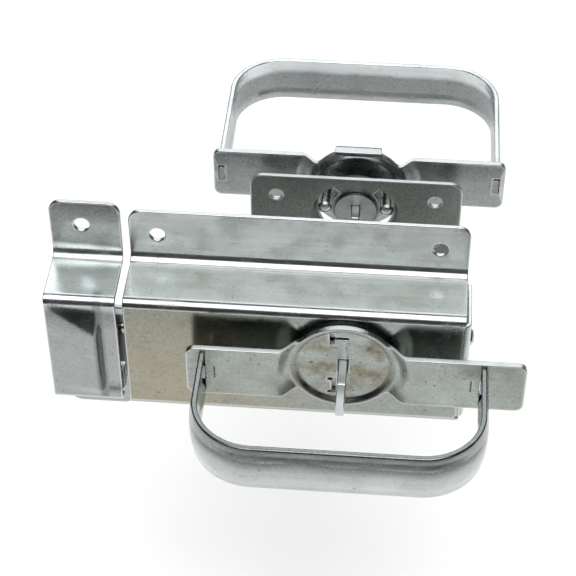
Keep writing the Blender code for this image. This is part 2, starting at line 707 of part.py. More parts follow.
def main():
    """Build every piece of the latch."""
    clear_scene()
    zinc = (0.62, 0.66, 0.69)
    dark = (0.45, 0.46, 0.46)
    build_case(metal("case_zinc", zinc, 0.28))
    build_back_plate(metal("back_plate_zinc", dark, 0.4))
    build_end_rivet(metal("end_rivet_steel", dark, 0.35))
    build_strike(metal("strike_zinc", zinc, 0.28))
    build_latch_bar(metal("latch_bar_zinc", dark, 0.4))
    build_nose_plate(metal("nose_plate_zinc", dark, 0.4))
    build_nose_rivets(metal("nose_rivet_steel", zinc, 0.3))
    build_pivot_pin(metal("pivot_steel", dark, 0.35))
    build_pivot_washer(metal("pivot_spacer_steel", dark, 0.4))
    build_lift_cam(metal("lift_cam_steel", dark, 0.4))
    build_spindle(metal("spindle_zinc", zinc, 0.35))
    front_bar = metal("front_bar_zinc", zinc, 0.35)
    build_handle_bar("front_handle_bar", -1, FRONT_FLOOR, FRONT_BAR_X, FRONT_GRIP_HALF, False,
                     front_bar)
    arm = BAR_T + RIM_RISE + ARM_RISE
    front_grip = metal("front_grip_zinc", zinc, 0.3)
    build_grip("front_grip", -1, FRONT_FLOOR + arm, FRONT_GRIP_HALF, FRONT_GRIP_OUT, front_grip)
    build_front_hub(metal("front_hub_steel", dark, 0.4))
    build_rear_plate(metal("rear_plate_zinc", dark, 0.4))
    rear_bar = metal("rear_bar_zinc", zinc, 0.35)
    build_handle_bar("rear_handle_bar", 1, REAR_FLOOR, REAR_BAR_X, REAR_GRIP_HALF, True, rear_bar)
    rear_grip = metal("rear_grip_zinc", zinc, 0.3)
    build_grip("rear_grip", 1, REAR_FLOOR + arm, REAR_GRIP_HALF, REAR_GRIP_OUT, rear_grip)
    build_rear_hub(metal("rear_hub_steel", dark, 0.4))
    build_stop_rivets(metal("stop_rivet_steel", dark, 0.35))


main()
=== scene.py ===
"""The looks of the gravity gate latch: every piece built finely over its CAD node, plated-steel
materials, a pale floor, soft light and the camera. Sizes are in millimetres, counted from the
spindle's axis, and become metres in the CAD's frame when a mesh is made."""

import json
from math import asin, atan2, cos, degrees, dist, hypot, pi, radians, sin, sqrt

import bmesh
import bpy
from mathutils import Matrix, Vector
from mathutils.geometry import delaunay_2d_cdt


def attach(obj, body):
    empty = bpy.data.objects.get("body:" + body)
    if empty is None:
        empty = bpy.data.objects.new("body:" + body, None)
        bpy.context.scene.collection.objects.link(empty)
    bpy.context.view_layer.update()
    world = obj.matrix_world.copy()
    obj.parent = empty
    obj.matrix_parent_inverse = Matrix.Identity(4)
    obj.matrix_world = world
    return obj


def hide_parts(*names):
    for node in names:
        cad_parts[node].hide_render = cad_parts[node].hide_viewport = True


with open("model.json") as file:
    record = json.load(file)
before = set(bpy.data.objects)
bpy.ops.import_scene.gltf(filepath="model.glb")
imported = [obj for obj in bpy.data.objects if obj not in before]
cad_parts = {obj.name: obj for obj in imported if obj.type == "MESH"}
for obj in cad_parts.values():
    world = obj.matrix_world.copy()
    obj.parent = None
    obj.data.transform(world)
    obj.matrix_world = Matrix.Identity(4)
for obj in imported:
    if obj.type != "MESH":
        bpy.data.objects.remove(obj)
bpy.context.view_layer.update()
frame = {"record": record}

MM = 0.001
ORIGIN = Vector((-23.0, 0.0, 43.6))
GAP = 0.3  # free space between pieces that touch

# Case and strike: pressed from one sheet thickness, the same depth
SHEET = 2.0
DEPTH = 31.5  # mounting face to front face
BEND = 4.0  # outside radius of a bend
FOOT_BEND = 4.5  # visible radius where a wall meets its flange
CASE_X = (-100.0, 56.5)
CASE_Z = -4.7  # the case's middle is a little below the spindle
CASE_HALF = 33.4  # half the height of the front face
CASE_FLANGE = 61.7  # flange edge above and below the case's middle
CASE_HOLES_X = (-87.0, 41.0)  # 128 mm apart
CASE_HOLE_Z = 48.3
STRIKE_X = (-136.0, -103.0)
STRIKE_Z = -4.2
STRIKE_HALF = 32.7
STRIKE_FLANGE = 64.5
STRIKE_HOLE_X = -121.4
STRIKE_HOLE_Z = 51.3
SCREW_HOLE = 7.0
CORNER = 6.0
END_RIVET = (-16.0, 4.0)  # Y and Z of the rivet in the end wall
FOLD_EXTRA = BEND * (pi / 2 - 1)  # flat length of a fold past its outside corner
TAB_SLIT = 1.2  # slit beside a folded tab
END_RIVET_R = 2.5
RELIEF = 4.0  # how far the strike's front is pressed out
RELIEF_PEAK = 0.68  # where it is highest, as a share of the strike's width
SET_BACK = 1.4  # how far the band right of it is pressed in
LIP_TOP = -22.5  # top of the strike's upturned lip

# Back plate: its visible face and its thickness
BACK_Y = -0.5
BACK_SHEET = 1.5

# Latch bar, its pivot and its rivets
PIVOT = (42.0, -2.5)
BAR_Y = (-22.5, -18.5)
BAR_Z = (-19.0, 12.0)
PIN_R = 4.0
NOSE_RIVETS_X = (-102.5, -117.0)
NOSE_RIVET_Z = 3.5
NOSE_RIVET_R = 2.0
NOSE_SHEET = 2.5
LIFT_TURN = 35.0  # handle turn that lifts the bar fully, in degrees

# Spindle: a flat bar
SPINDLE_X = 4.0
SPINDLE_Z = 7.1
SPINDLE_Y = (-63.6, 94.0)
GROOVES_Y = (-50.0, 14.0, 24.0, 34.0, 44.0, 54.0, 64.0)

# Rear plate on the far face of the gate
GATE = 67.0  # gate thickness between the two mounting faces
PLATE_HALF_X = 52.0
PLATE_HALF_Z = 25.0
PLATE_DISH = 8.0
PLATE_HOLE = (39.0, 13.0)  # X and Z of a screw hole
HUB_HOLE = 6.0  # radius of the plates' holes on the spindle's axis

# Handles
BAR_T = 2.8
ARM_HALF = 14.2
DISC_R = 24.5
RIM_RISE = 1.5
RIM_START = 20.5  # radius where the disc's rim starts to rise
ARM_RISE = 7.2
ARM_START = 24.0  # radius where an arm starts to rise
FRONT_BAR_X = (-70.5, 82.0)
REAR_BAR_X = (-74.0, 74.0)
FRONT_FLOOR = DEPTH + 0.9  # back of the front disc, in front of the gate
REAR_FLOOR = GATE + 21.7  # gate side of the rear disc
FRONT_GRIP_HALF = 64.4
REAR_GRIP_HALF = 71.0
FRONT_GRIP_OUT = 55.0  # bar to the middle of the strip
REAR_GRIP_OUT = 81.6
GRIP_R = 27.0
GRIP_T = 2.6
GRIP_HALF_Z = 12.4
GRIP_CROWN = 1.0
TAB_HALF_Z = 4.3
STOP_R = 15.5  # the rear stop rivets' distance from the spindle
STOP_RIVET_R = 2.4
SLOT_TURN = 12.0  # free angle of a kidney slot past the rivet
TAB_LENGTH = 7.5  # flat length of the stop tab on the rear disc
TAB_HALF_X = 11.5
TAB_BEND = 3.5
TAB_START = DISC_R - 1.5  # where the tab's bend starts

# Fineness of the shown meshes
SEGMENTS = 72
STRIP_ROWS = 14
RELIEF_ROWS = 48
GRID = 4.0  # spacing of the loose points inside a sheet
BEND_STEPS = 10
EDGE_STEPS = 4  # rows round a cut edge's rounding
ROUND = 0.55  # radius of a cut edge
EDGE_REACH = 3.0  # how far in from a cut edge the wear can reach
SHARP = radians(50)

# Camera, in millimetres from the CAD's origin and degrees
AZIMUTH, ELEVATION, ROLL = 4.70, 43.03, -0.07
AIM = Vector((-5.4, 6.6, -36.56))
VIEW_DISTANCE = 810.6
LENS = 108.13

# Stage, in metres, and the surround's radius in millimetres
FLOOR_Z = -0.24
SURROUND_R = 450.0
SURROUND_TALL = 0.49
FLOOR_HALF = 3.0
LIGHT_SCALE = 4.0  # watts for each unit of radiance and square metre

# Tones laid over the zinc, and the noise scale of its rolling streaks
STAIN_TONE = (0.25, 0.215, 0.14)
STREAK_TONE = (0.16, 0.16, 0.16)
GRAIN_TONE = (0.72, 0.76, 0.78)
PIT_TONE = (0.10, 0.09, 0.07)
WORN_TONE = (0.62, 0.64, 0.65)
# painted reflection: the olive and cool tones tint the foremost face's painted reflection
OLIVE_TONE = (0.20, 0.20, 0.165)
COOL_TONE = (0.27, 0.305, 0.30)
# painted dark reflection in the strike's pressed crease
CREASE_REFLECTION_TONE = (0.06, 0.065, 0.06)
# painted shadow in the lower half of the front disc's rim
RIM_SHADOW_TONE = (0.06, 0.058, 0.05)
SLIT_TONE = (0.02, 0.02, 0.02)
STREAK_SCALE = (30.0, 700.0, 700.0)


BODY_OF = {node: body for body, nodes in frame["record"]["behaviour"]["bodies"].items() for node in nodes}


def add_object(name, data):
    """A new object in the scene."""
    thing = bpy.data.objects.new(name, data)
    bpy.context.scene.collection.objects.link(thing)
    return thing


def make_object(name, points, faces, finish, depths=None):
    """One smooth mesh that stands for the CAD node of the same name and rides on its body. finish is
    a material and the record's slot; the slot is not used. The attribute "edge" holds the distance to the
    cut edges."""
    material, slot = finish
    mesh = bmesh.new()
    layer = mesh.verts.layers.float.new("edge")
    corners = []
    for index, point in enumerate(points):
        corner = mesh.verts.new((Vector(point) - ORIGIN) * MM)
        corner[layer] = depths[index] if depths else EDGE_REACH / 2
        corners.append(corner)
    for face in faces:
        if len(set(face)) > 2:
            mesh.faces.new([corners[index] for index in face])
    loose = [corner for corner in mesh.verts if not corner.link_faces]
    bmesh.ops.delete(mesh, geom=loose, context="VERTS")
    bmesh.ops.remove_doubles(mesh, verts=mesh.verts, dist=2e-6)
    bmesh.ops.dissolve_degenerate(mesh, edges=mesh.edges, dist=1e-7)
    bmesh.ops.recalc_face_normals(mesh, faces=mesh.faces)
    for edge in mesh.edges:
        edge.smooth = len(edge.link_faces) == 2 and edge.calc_face_angle(0.0) < SHARP
    for face in mesh.faces:
        face.smooth = True
    data = bpy.data.meshes.new("shown_" + name)
    mesh.to_mesh(data)
    mesh.free()
    data.materials.append(material)
    thing = add_object("shown_" + name, data)
    weighted = thing.modifiers.new("even_shading", "WEIGHTED_NORMAL")
    weighted.keep_sharp = True
    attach(thing, BODY_OF[name])
    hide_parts(name)
    return thing


def circle(x, z, radius, count=48):
    """Points round a circle."""
    turns = [2 * pi * index / count for index in range(count)]
    return [(x + radius * cos(turn), z + radius * sin(turn)) for turn in turns]


def arc(x, z, radius, start, end, count):
    """Points along an arc, both ends included, angles in degrees."""
    turns = [radians(start + (end - start) * index / count) for index in range(count + 1)]
    return [(x + radius * cos(turn), z + radius * sin(turn)) for turn in turns]


def rectangle(x_low, x_high, z_low, z_high, radius=0.0, count=5):
    """A rectangle with rounded corners, going round once."""
    if radius == 0.0:
        return [(x_low, z_low), (x_high, z_low), (x_high, z_high), (x_low, z_high)]
    points = arc(x_low + radius, z_low + radius, radius, 180, 270, count)
    points += arc(x_high - radius, z_low + radius, radius, 270, 360, count)
    points += arc(x_high - radius, z_high - radius, radius, 0, 90, count)
    points += arc(x_low + radius, z_high - radius, radius, 90, 180, count)
    return points


def closed_ring(radius):
    """A guide line round the spindle's axis, back to its start."""
    ring = circle(0.0, 0.0, radius, 96)
    return ring + ring[:1]


def inside(point, loop):
    """Whether a point is inside a loop."""
    found = False
    for index, (x1, z1) in enumerate(loop):
        x2, z2 = loop[index - 1]
        if (z1 > point[1]) != (z2 > point[1]):
            if point[0] < (x2 - x1) * (point[1] - z1) / (z2 - z1) + x1:
                found = not found
    return found


def smooth_step(value):
    """A step from 0 to 1 with soft ends."""
    value = min(max(value, 0.0), 1.0)
    return value * value * (3 - 2 * value)


def shrink(loop, distance):
    """An outline moved inwards by a distance, or outwards if it is negative."""
    area = sum(x1 * z2 - x2 * z1 for (x1, z1), (x2, z2) in zip(loop, loop[1:] + loop[:1]))
    side = 1.0 if area > 0 else -1.0
    moved = []
    for index, here in enumerate(loop):
        before, after = Vector(loop[index - 1]), Vector(loop[(index + 1) % len(loop)])
        here = Vector(here)
        into, away = (here - before).normalized(), (after - here).normalized()
        normal1, normal2 = Vector((-into.y, into.x)) * side, Vector((-away.y, away.x)) * side
        reach = (normal1 + normal2) / max(1.0 + normal1.dot(normal2), 0.3)
        moved.append(tuple(here + reach * distance))
    return moved


def triangulate(outline, holes, guides, spacing=0.0):
    """Triangles that fill an outline less its holes, following the guide lines and a loose grid."""
    points = []
    edges = []
    for loop in [outline] + holes:
        first = len(points)
        points += [Vector(point) for point in loop]
        edges += [(first + index, first + (index + 1) % len(loop)) for index in range(len(loop))]
    for line in guides:
        first = len(points)
        points += [Vector(point) for point in line]
        edges += [(first + index, first + index + 1) for index in range(len(line) - 1)]
    if spacing:
        low_x, high_x = min(x for x, _ in outline), max(x for x, _ in outline)
        low_z, high_z = min(z for _, z in outline), max(z for _, z in outline)
        for column in range(int((high_x - low_x) / spacing)):
            for row in range(int((high_z - low_z) / spacing)):
                shift = 0.5 * (row % 2) + 0.27
                points.append(Vector((low_x + (column + shift) * spacing, low_z + (row + 0.53) * spacing)))
    flat, _, triangles, _, _, _ = delaunay_2d_cdt(points, edges, [], 0, 1e-4)
    kept = []
    for triangle in triangles:
        corners = [flat[index] for index in triangle]
        middle = (corners[0] + corners[1] + corners[2]) / 3
        if inside(middle, outline) and not any(inside(middle, hole) for hole in holes):
            turn = (corners[1] - corners[0]).cross(corners[2] - corners[0])
            kept.append(tuple(triangle) if turn > 0 else tuple(reversed(triangle)))
    return flat, kept


def edge_loops(flat, triangles):
    """The directed sides on the cut edges, and each edge corner's direction out of the material."""
    sides = {(triangle[index], triangle[(index + 1) % 3]) for triangle in triangles for index in range(3)}
    cut = [side for side in sides if (side[1], side[0]) not in sides]
    normals = {}
    for start, end in cut:
        along = (flat[end] - flat[start]).normalized()
        for corner in (start, end):
            normals.setdefault(corner, []).append(Vector((along.y, -along.x)))
    outward = {}
    for corner, found in normals.items():
        total = found[0] + found[-1]
        outward[corner] = total / max(1.0 + found[0].dot(found[-1]), 0.3)
    return sorted(cut), outward


def edge_distance(flat, cut):
    """Each point's distance to the nearest cut edge, in millimetres, up to EDGE_REACH."""
    cells = {}
    for start, end in cut:
        steps = max(int((flat[end] - flat[start]).length / 0.8), 1)
        for step in range(steps + 1):
            point = flat[start].lerp(flat[end], step / steps)
            cells.setdefault((int(point.x // EDGE_REACH), int(point.y // EDGE_REACH)), []).append(point)
    found = []
    for point in flat:
        column, row = int(point.x // EDGE_REACH), int(point.y // EDGE_REACH)
        around = [(column + i, row + j) for i in (-1, 0, 1) for j in (-1, 0, 1)]
        near = [other for cell in around for other in cells.get(cell, [])]
        found.append(min([(point - other).length for other in near] + [EDGE_REACH]))
    return found


def sheet(name, outline, holes, guides, place, thickness, finish):
    """A sheet of even thickness with rounded cut edges. place gives the visible surface's point and
    its outward normal."""
    rounding = min(ROUND, thickness * 0.3)
    flat, triangles = triangulate(shrink(outline, rounding), [shrink(hole, -rounding) for hole in holes],
                                  guides, GRID)
    cut, outward = edge_loops(flat, triangles)
    near = edge_distance(flat, cut)
    points = []
    depths = []

    def add(x, z, down, distance):
        point, normal = place(x, z)
        points.append(Vector(point) - Vector(normal) * down)
        depths.append(distance)
        return len(points) - 1

    front = [add(point.x, point.y, 0.0, near[index] + 0.3) for index, point in enumerate(flat)]
    back = [add(point.x, point.y, thickness, near[index] + 0.3) for index, point in enumerate(flat)]
    faces = []
    for triangle in triangles:
        faces.append([front[index] for index in triangle])
        faces.append([back[index] for index in reversed(triangle)])
    steps = [radians(90 * step / EDGE_STEPS) for step in range(1, EDGE_STEPS + 1)]
    levels = [(sin(turn), rounding * (1 - cos(turn))) for turn in steps]
    levels += [(share, thickness - down) for share, down in reversed(levels)]
    rows = [{corner: front[corner] for corner in outward}]
    for share, down in levels:
        row = {}
        for corner, way in outward.items():
            place_out = flat[corner] + way * rounding * share
            row[corner] = add(place_out.x, place_out.y, down, 0.3 * (1.0 - share))
        rows.append(row)
    rows.append({corner: back[corner] for corner in outward})
    for near_row, far_row in zip(rows, rows[1:]):
        for start, end in cut:
            faces.append([near_row[end], near_row[start], far_row[start], far_row[end]])
    return make_object(name, points, faces, finish, depths)


def soften(stations):
    """Turned stations with each inner corner cut by a small chamfer."""
    soft = [stations[0]]
    for before, here, after in zip(stations, stations[1:], stations[2:]):
        for other in (before, after):
            length = dist(other, here)
            share = min(0.2, length / 3) / length
            soft.append((here[0] + (other[0] - here[0]) * share, here[1] + (other[1] - here[1]) * share))
    soft.append(stations[-1])
    return soft


def turned(name, stations, finish, axis="Y", centre=(0.0, 0.0), bore=None, segments=SEGMENTS):
    """A round solid from (distance along the axis, radius) stations, with an optional bore loop."""
    def point(a, b, along):
        if axis == "Y":
            return (centre[0] + a, along, centre[1] + b)
        return (along, centre[0] + a, centre[1] + b)

    stations = soften(stations)
    points = []
    faces = []
    for along, radius in stations:
        points += [point(a, b, along) for a, b in circle(0, 0, radius, segments)]
    for ring in range(len(stations) - 1):
        low = ring * segments
        for index in range(segments):
            after = (index + 1) % segments
            high = low + segments
            faces.append([low + index, low + after, high + after, high + index])
    holes = [bore] if bore else []
    for along, radius in (stations[0], stations[-1]):
        flat, triangles = triangulate(circle(0, 0, radius, segments), holes, [])
        first = len(points)
        points += [point(a, b, along) for a, b in flat]
        faces += [[first + index for index in triangle] for triangle in triangles]
    for index in range(len(bore) if bore else 0):
        (a1, b1), (a2, b2) = bore[index - 1], bore[index]
        first = len(points)
        near, far = stations[0][0], stations[-1][0]
        points += [point(a1, b1, near), point(a2, b2, near), point(a2, b2, far), point(a1, b1, far)]
        faces.append([first, first + 1, first + 2, first + 3])
    return make_object(name, points, faces, finish)


def bent_profile(middle, half, flange):
    """Stations down a hat profile's visible side: length along it, point and outward normal."""
    def bend(y, z, radius, start, end, sign):
        stations = []
        for index in range(BEND_STEPS + 1):
            turn = radians(start + (end - start) * index / BEND_STEPS)
            out = (cos(turn), sin(turn))
            stations.append(((y + radius * out[0], z + radius * out[1]), (sign * out[0], sign * out[1])))
        return stations

    foot = -SHEET - FOOT_BEND
    front = -DEPTH + BEND
    stations = [((-SHEET, flange), (-1.0, 0.0))]
    stations += bend(foot, half + FOOT_BEND, FOOT_BEND, 0, -90, -1)
    stations += bend(front, half - BEND, BEND, 90, 180, 1)
    stations += bend(front, -half + BEND, BEND, 180, 270, 1)
    stations += bend(foot, -half - FOOT_BEND, FOOT_BEND, 90, 0, -1)
    stations.append(((-SHEET, -flange), (-1.0, 0.0)))
    lengths = [0.0]
    for (before, _), (after, _) in zip(stations, stations[1:]):
        lengths.append(lengths[-1] + dist(before, after))
    placed = [((y, z + middle), normal) for (y, z), normal in stations]
    return [(length, point, normal) for length, (point, normal) in zip(lengths, placed)]


def along_profile(profile, length):
    """The point and normal at a length along a profile."""
    for (start, point1, normal1), (end, point2, normal2) in zip(profile, profile[1:]):
        if length <= end:
            break
    share = (length - start) / (end - start)
    point = [point1[axis] + (point2[axis] - point1[axis]) * share for axis in (0, 1)]
    normal = [normal1[axis] + (normal2[axis] - normal1[axis]) * share for axis in (0, 1)]
    return point, normal


def flat_part(profile, bends):
    """The lengths at which the flat part after a number of bends starts and ends."""
    last = bends * (BEND_STEPS + 1)
    return profile[last][0], profile[last + 1][0]


def fold_end(x, edge, point, normal):
    """Fold what lies past edge inwards, away from the outward normal, round a bend."""
    start = edge - BEND
    if x <= start:
        return (x, *point), (0.0, *normal)
    turn = min((x - start) / BEND, pi / 2)
    past = max(x - start - BEND * pi / 2, 0.0)
    inward = BEND * (1 - cos(turn)) + past
    out_x = start + BEND * sin(turn)
    place = (out_x, point[0] - normal[0] * inward, point[1] - normal[1] * inward)
    facing = (sin(turn), normal[0] * cos(turn), normal[1] * cos(turn))
    return place, facing


def fold_guides(edge, low, high):
    """Guide lines across a folded tab's bend."""
    steps = [edge - BEND + BEND * pi / 2 * index / BEND_STEPS for index in range(BEND_STEPS + 1)]
    return [[(x, low), (x, high)] for x in steps]


def hat_outline(left, right, total, notch, tab_low, tab_high, tab_end):
    """A flat hat section with round corners, and a tab at the right between two slits."""
    tab = [(right, tab_low - TAB_SLIT), (notch, tab_low - TAB_SLIT), (notch, tab_low), (tab_end, tab_low)]
    tab += [(tab_end, tab_high), (notch, tab_high)]
    tab += [(notch, tab_high + TAB_SLIT), (right, tab_high + TAB_SLIT)]
    outline = rectangle(left, right, 0.0, total, CORNER, 6)
    half = len(outline) // 2
    return outline[:half] + tab + outline[half:]


def build_case(finish):
    """The latch case: a hat section with a folded end wall."""
    profile = bent_profile(CASE_Z, CASE_HALF, CASE_FLANGE)
    total = profile[-1][0]
    face_low, face_high = flat_part(profile, 2)
    left, right = CASE_X[0], CASE_X[1] - SHEET - GAP
    end_length = BEND * (pi / 2 - 2) + DEPTH - SHEET - GAP
    tab_low, tab_high = face_low + 0.4, face_high - 0.4

    def place(x, length):
        point, normal = along_profile(profile, length)
        if tab_low - ROUND <= length <= tab_high + ROUND and x > CASE_X[1] - BEND:
            return fold_end(x, CASE_X[1], point, normal)
        return (x, *point), (0.0, *normal)

    tab_end = CASE_X[1] + end_length
    outline = hat_outline(left, right, total, CASE_X[1] - BEND, tab_low, tab_high, tab_end)
    holes = []
    for x in CASE_HOLES_X:
        for length in (CASE_FLANGE - CASE_HOLE_Z, total - CASE_FLANGE + CASE_HOLE_Z):
            holes.append(circle(x, length, SCREW_HOLE / 2))
    middle = (face_low + face_high) / 2 + CASE_Z
    holes.append(circle(0.0, middle, HUB_HOLE))
    holes.append(circle(PIVOT[0], middle - PIVOT[1], PIN_R + GAP))
    rivet_x = CASE_X[1] + FOLD_EXTRA + END_RIVET[0] + DEPTH - BEND
    holes.append(circle(rivet_x, middle - END_RIVET[1], END_RIVET_R + GAP, 20))
    guides = [[(left - 1, length), (right + 1, length)] for length, _, _ in profile[1:-1]]
    guides += fold_guides(CASE_X[1], tab_low, tab_high)
    return sheet("case", outline, holes, guides, place, SHEET, finish)


def build_strike(finish):
    """The strike: a hat section with a pressed front and an upturned lip for the latch bar."""
    profile = bent_profile(STRIKE_Z, STRIKE_HALF, STRIKE_FLANGE)
    total = profile[-1][0]
    face_low, face_high = flat_part(profile, 2)
    wall_low, wall_high = flat_part(profile, 3)
    left, right = STRIKE_X
    width = right - left

    def relief(x, z):
        share = (x - left) / width
        if share < RELIEF_PEAK:
            height = RELIEF * share / RELIEF_PEAK
        else:
            height = RELIEF * (1 - smooth_step((share - RELIEF_PEAK) / 0.1))
            height -= SET_BACK * smooth_step((share - 0.7) / 0.12)
        z -= STRIKE_Z
        top = STRIKE_HALF - 6.0 - 15.0 * min(share / RELIEF_PEAK, 1.0)
        rise = smooth_step((STRIKE_HALF - BEND - z) / (STRIKE_HALF - BEND - top))
        fall = smooth_step((z + STRIKE_HALF - BEND) / 9.0)
        return height * rise * fall

    def place(x, length):
        point, normal = along_profile(profile, length)
        if wall_low + 2.6 <= length <= wall_high - 0.6 and x > right - BEND:
            return fold_end(x, right, point, normal)
        if face_low < length < face_high:
            point = (point[0] - relief(x, point[1]), point[1])
        return (x, *point), (0.0, *normal)

    lip = LIP_TOP + STRIKE_HALF - STRIKE_Z
    lip_end = right + FOLD_EXTRA + lip - BEND
    lip_low, lip_high = wall_low + 3.0, wall_high - 1.0
    outline = hat_outline(left, right - 0.4, total, right - BEND, lip_low, lip_high, lip_end)
    up = STRIKE_FLANGE - STRIKE_HOLE_Z
    holes = [circle(STRIKE_HOLE_X, y, SCREW_HOLE / 2) for y in (up, total - up)]
    guides = [[(left - 1, length), (right + 1, length)] for length, _, _ in profile[1:-1]]
    for row in range(1, RELIEF_ROWS):
        length = face_low + (face_high - face_low) * row / RELIEF_ROWS
        guides.append([(left - 1, length), (right + 1, length)])
    coarse = [0.04 * step for step in range(1, 17)]
    fine = [0.66 + 0.015 * step for step in range(14)]
    for share in coarse + fine + [0.92]:
        x = left + width * share
        guides.append([(x, face_low), (x, face_high)])
    guides += fold_guides(right, lip_low, lip_high)
    return sheet("strike", outline, holes, guides, place, SHEET, finish)


def plate(name, outline, holes, front, thickness, finish):
    """A flat plate whose front is at Y = front."""
    def place(x, z):
        return (x, front, z), (0.0, -1.0, 0.0)

    return sheet(name, outline, holes, [], place, thickness, finish)


def build_back_plate(finish):
    """The plate that closes the case's back, with a tab riveted to the end wall."""
    inner = CASE_HALF - SHEET - GAP
    edge = CASE_X[1] - SHEET - GAP
    tab = edge + FOLD_EXTRA + 24.0
    low, high = CASE_Z - inner, CASE_Z + inner
    outline = [(CASE_X[0] + 1.5, low), (edge - BEND, low), (edge - BEND, -10.0), (tab, -10.0)]
    outline += [(tab, 10.0), (edge - BEND, 10.0), (edge - BEND, high), (CASE_X[0] + 1.5, high)]

    def place(x, z):
        if x <= edge - BEND:
            return (x, BACK_Y, z), (0.0, 1.0, 0.0)
        (out_x, y, _), (face_x, face_y, _) = fold_end(x, edge, (BACK_Y, z), (1.0, 0.0))
        return (out_x, y, z), (face_x, face_y, 0.0)

    rivet_x = edge + FOLD_EXTRA + BACK_Y - BEND - END_RIVET[0]
    holes = [circle(0.0, 0.0, HUB_HOLE), circle(*PIVOT, PIN_R + GAP)]
    holes.append(circle(rivet_x, END_RIVET[1], END_RIVET_R + GAP, 20))
    guides = fold_guides(edge, -10.0, 10.0)
    return sheet("case_back_plate", outline, holes, guides, place, BACK_SHEET, finish)


def build_end_rivet(finish):
    """The rivet that holds the back plate's tab to the case's end wall."""
    outer = CASE_X[1]
    inner = outer - SHEET - GAP - BACK_SHEET
    stations = [(outer + 2.3, 1.0), (outer + 2.1, 2.4), (outer + 1.4, 3.6), (outer + GAP, 4.2)]
    stations += [(outer + GAP, END_RIVET_R), (inner - GAP, END_RIVET_R)]
    stations += [(inner - GAP, 3.6), (inner - 1.2, 3.0)]
    return turned("case_end_rivet", stations, finish, axis="X", centre=END_RIVET, segments=48)


def build_pivot_pin(finish):
    """The latch bar's pivot: a shouldered pin riveted into the front wall and the back plate."""
    front = -DEPTH
    stations = [(front - 1.6, 1.5), (front - 1.2, 3.6), (front - GAP, 5.2), (front - GAP, PIN_R)]
    stations += [(BAR_Y[0] - GAP - 1.0, PIN_R), (BAR_Y[1] + GAP, PIN_R), (BAR_Y[1] + GAP, 7.0)]
    inner = BACK_Y - BACK_SHEET - GAP
    stations += [(inner, 7.0), (inner, PIN_R), (-0.2, PIN_R)]
    return turned("latch_pivot_pin", stations, finish, centre=PIVOT)


def build_pivot_spacer(finish):
    """The spacer that keeps the latch bar back from the case's front wall."""
    low, high = -DEPTH + SHEET + GAP, BAR_Y[0] - GAP
    outline = circle(*PIVOT, 7.0, 32)
    holes = [circle(*PIVOT, PIN_R + GAP, 28)]
    return plate("latch_pivot_spacer", outline, holes, low, high - low, finish)


def latch_outline():
    """The latch bar's side view, with its hook at the left."""
    low, high = BAR_Z
    nose = [(-107.0, low), (-107.0, -29.0), (-108.0, -30.0), (-112.0, -30.0), (-123.0, -18.0)]
    nose += [(-124.0, -14.0), (-124.0, high - 9.0), (-119.0, high)]
    right = PIVOT[0] + 7.8
    return nose + [(right - 6.0, high), (right, high - 6.0), (right, low + 6.0), (right - 6.0, low)]


def nose_holes():
    """The holes for the two rivets through the latch bar's nose."""
    return [circle(x, NOSE_RIVET_Z, NOSE_RIVET_R + GAP, 20) for x in NOSE_RIVETS_X]


def build_latch_bar(finish):
    """The latch bar, with a window round the spindle and its lift cam."""
    window = rectangle(-13.0, 13.0, -12.8, 5.0 + GAP, 1.5, 3)
    holes = [window, circle(*PIVOT, PIN_R + GAP)] + nose_holes()
    return plate("latch_bar", latch_outline(), holes, BAR_Y[0], BAR_Y[1] - BAR_Y[0], finish)


def build_nose_plate(finish):
    """The doubling plate riveted behind the latch bar's hook."""
    low = BAR_Z[0] + 1.0
    outline = [(-96.0, low), (-107.0, low)] + latch_outline()[1:8] + [(-96.0, BAR_Z[1])]
    return plate("latch_nose_plate", outline, nose_holes(), BAR_Y[1] + GAP, NOSE_SHEET, finish)


def build_nose_rivets(finish):
    """Two domed rivets through the latch bar and its nose plate."""
    front, back = BAR_Y[0], BAR_Y[1] + GAP + NOSE_SHEET
    stations = [(front - 1.9, 0.8), (front - 1.6, 2.0), (front - 0.9, 2.9), (front - GAP, 3.3)]
    stations += [(front - GAP, NOSE_RIVET_R), (back + GAP, NOSE_RIVET_R)]
    stations += [(back + GAP, 3.2), (back + 1.2, 2.4)]
    for name, x in zip(("latch_nose_rivet", "latch_hook_rivet"), NOSE_RIVETS_X):
        turned(name, stations, finish, centre=(x, NOSE_RIVET_Z), segments=40)


def spindle_bore():
    """The rectangular hole that fits the flat spindle."""
    x, z = SPINDLE_X / 2 + GAP, SPINDLE_Z / 2 + GAP
    return rectangle(-x, x, -z, z)


def build_lift_cam(finish):
    """The flat-topped block on the spindle that lifts the latch bar when it turns."""
    outline = rectangle(-7.0, 7.0, -5.0, 5.0, 1.2, 3)
    return plate("lift_cam", outline, [spindle_bore()], BAR_Y[0], BAR_Y[1] - BAR_Y[0], finish)


def build_spindle(finish):
    """The flat spindle, with grooves where it can be broken to length."""
    low, high = SPINDLE_Y
    half = SPINDLE_Z / 2
    lower = [(low, -half + 1.4), (low + 0.8, -half)]
    upper = []
    for y in GROOVES_Y:
        lower += [(y - 0.9, -half), (y, -half + 0.8), (y + 0.9, -half)]
        upper += [(y - 0.9, half), (y, half - 0.8), (y + 0.9, half)]
    lower.append((high, -half))
    upper = [(low, half)] + upper + [(high, half)]
    outline = lower + upper[::-1]

    def place(y, z):
        return (SPINDLE_X / 2, y, z), (1.0, 0.0, 0.0)

    return sheet("spindle", outline, [], [], place, SPINDLE_X, finish)


def handle_rise(x, z):
    """How far a handle's sheet stands out from its disc's floor."""
    radius = hypot(x, z)
    rim = RIM_RISE * smooth_step((radius - RIM_START) / 2.6)
    arm = ARM_RISE * smooth_step((radius - ARM_START) / 8.0)
    return rim + arm


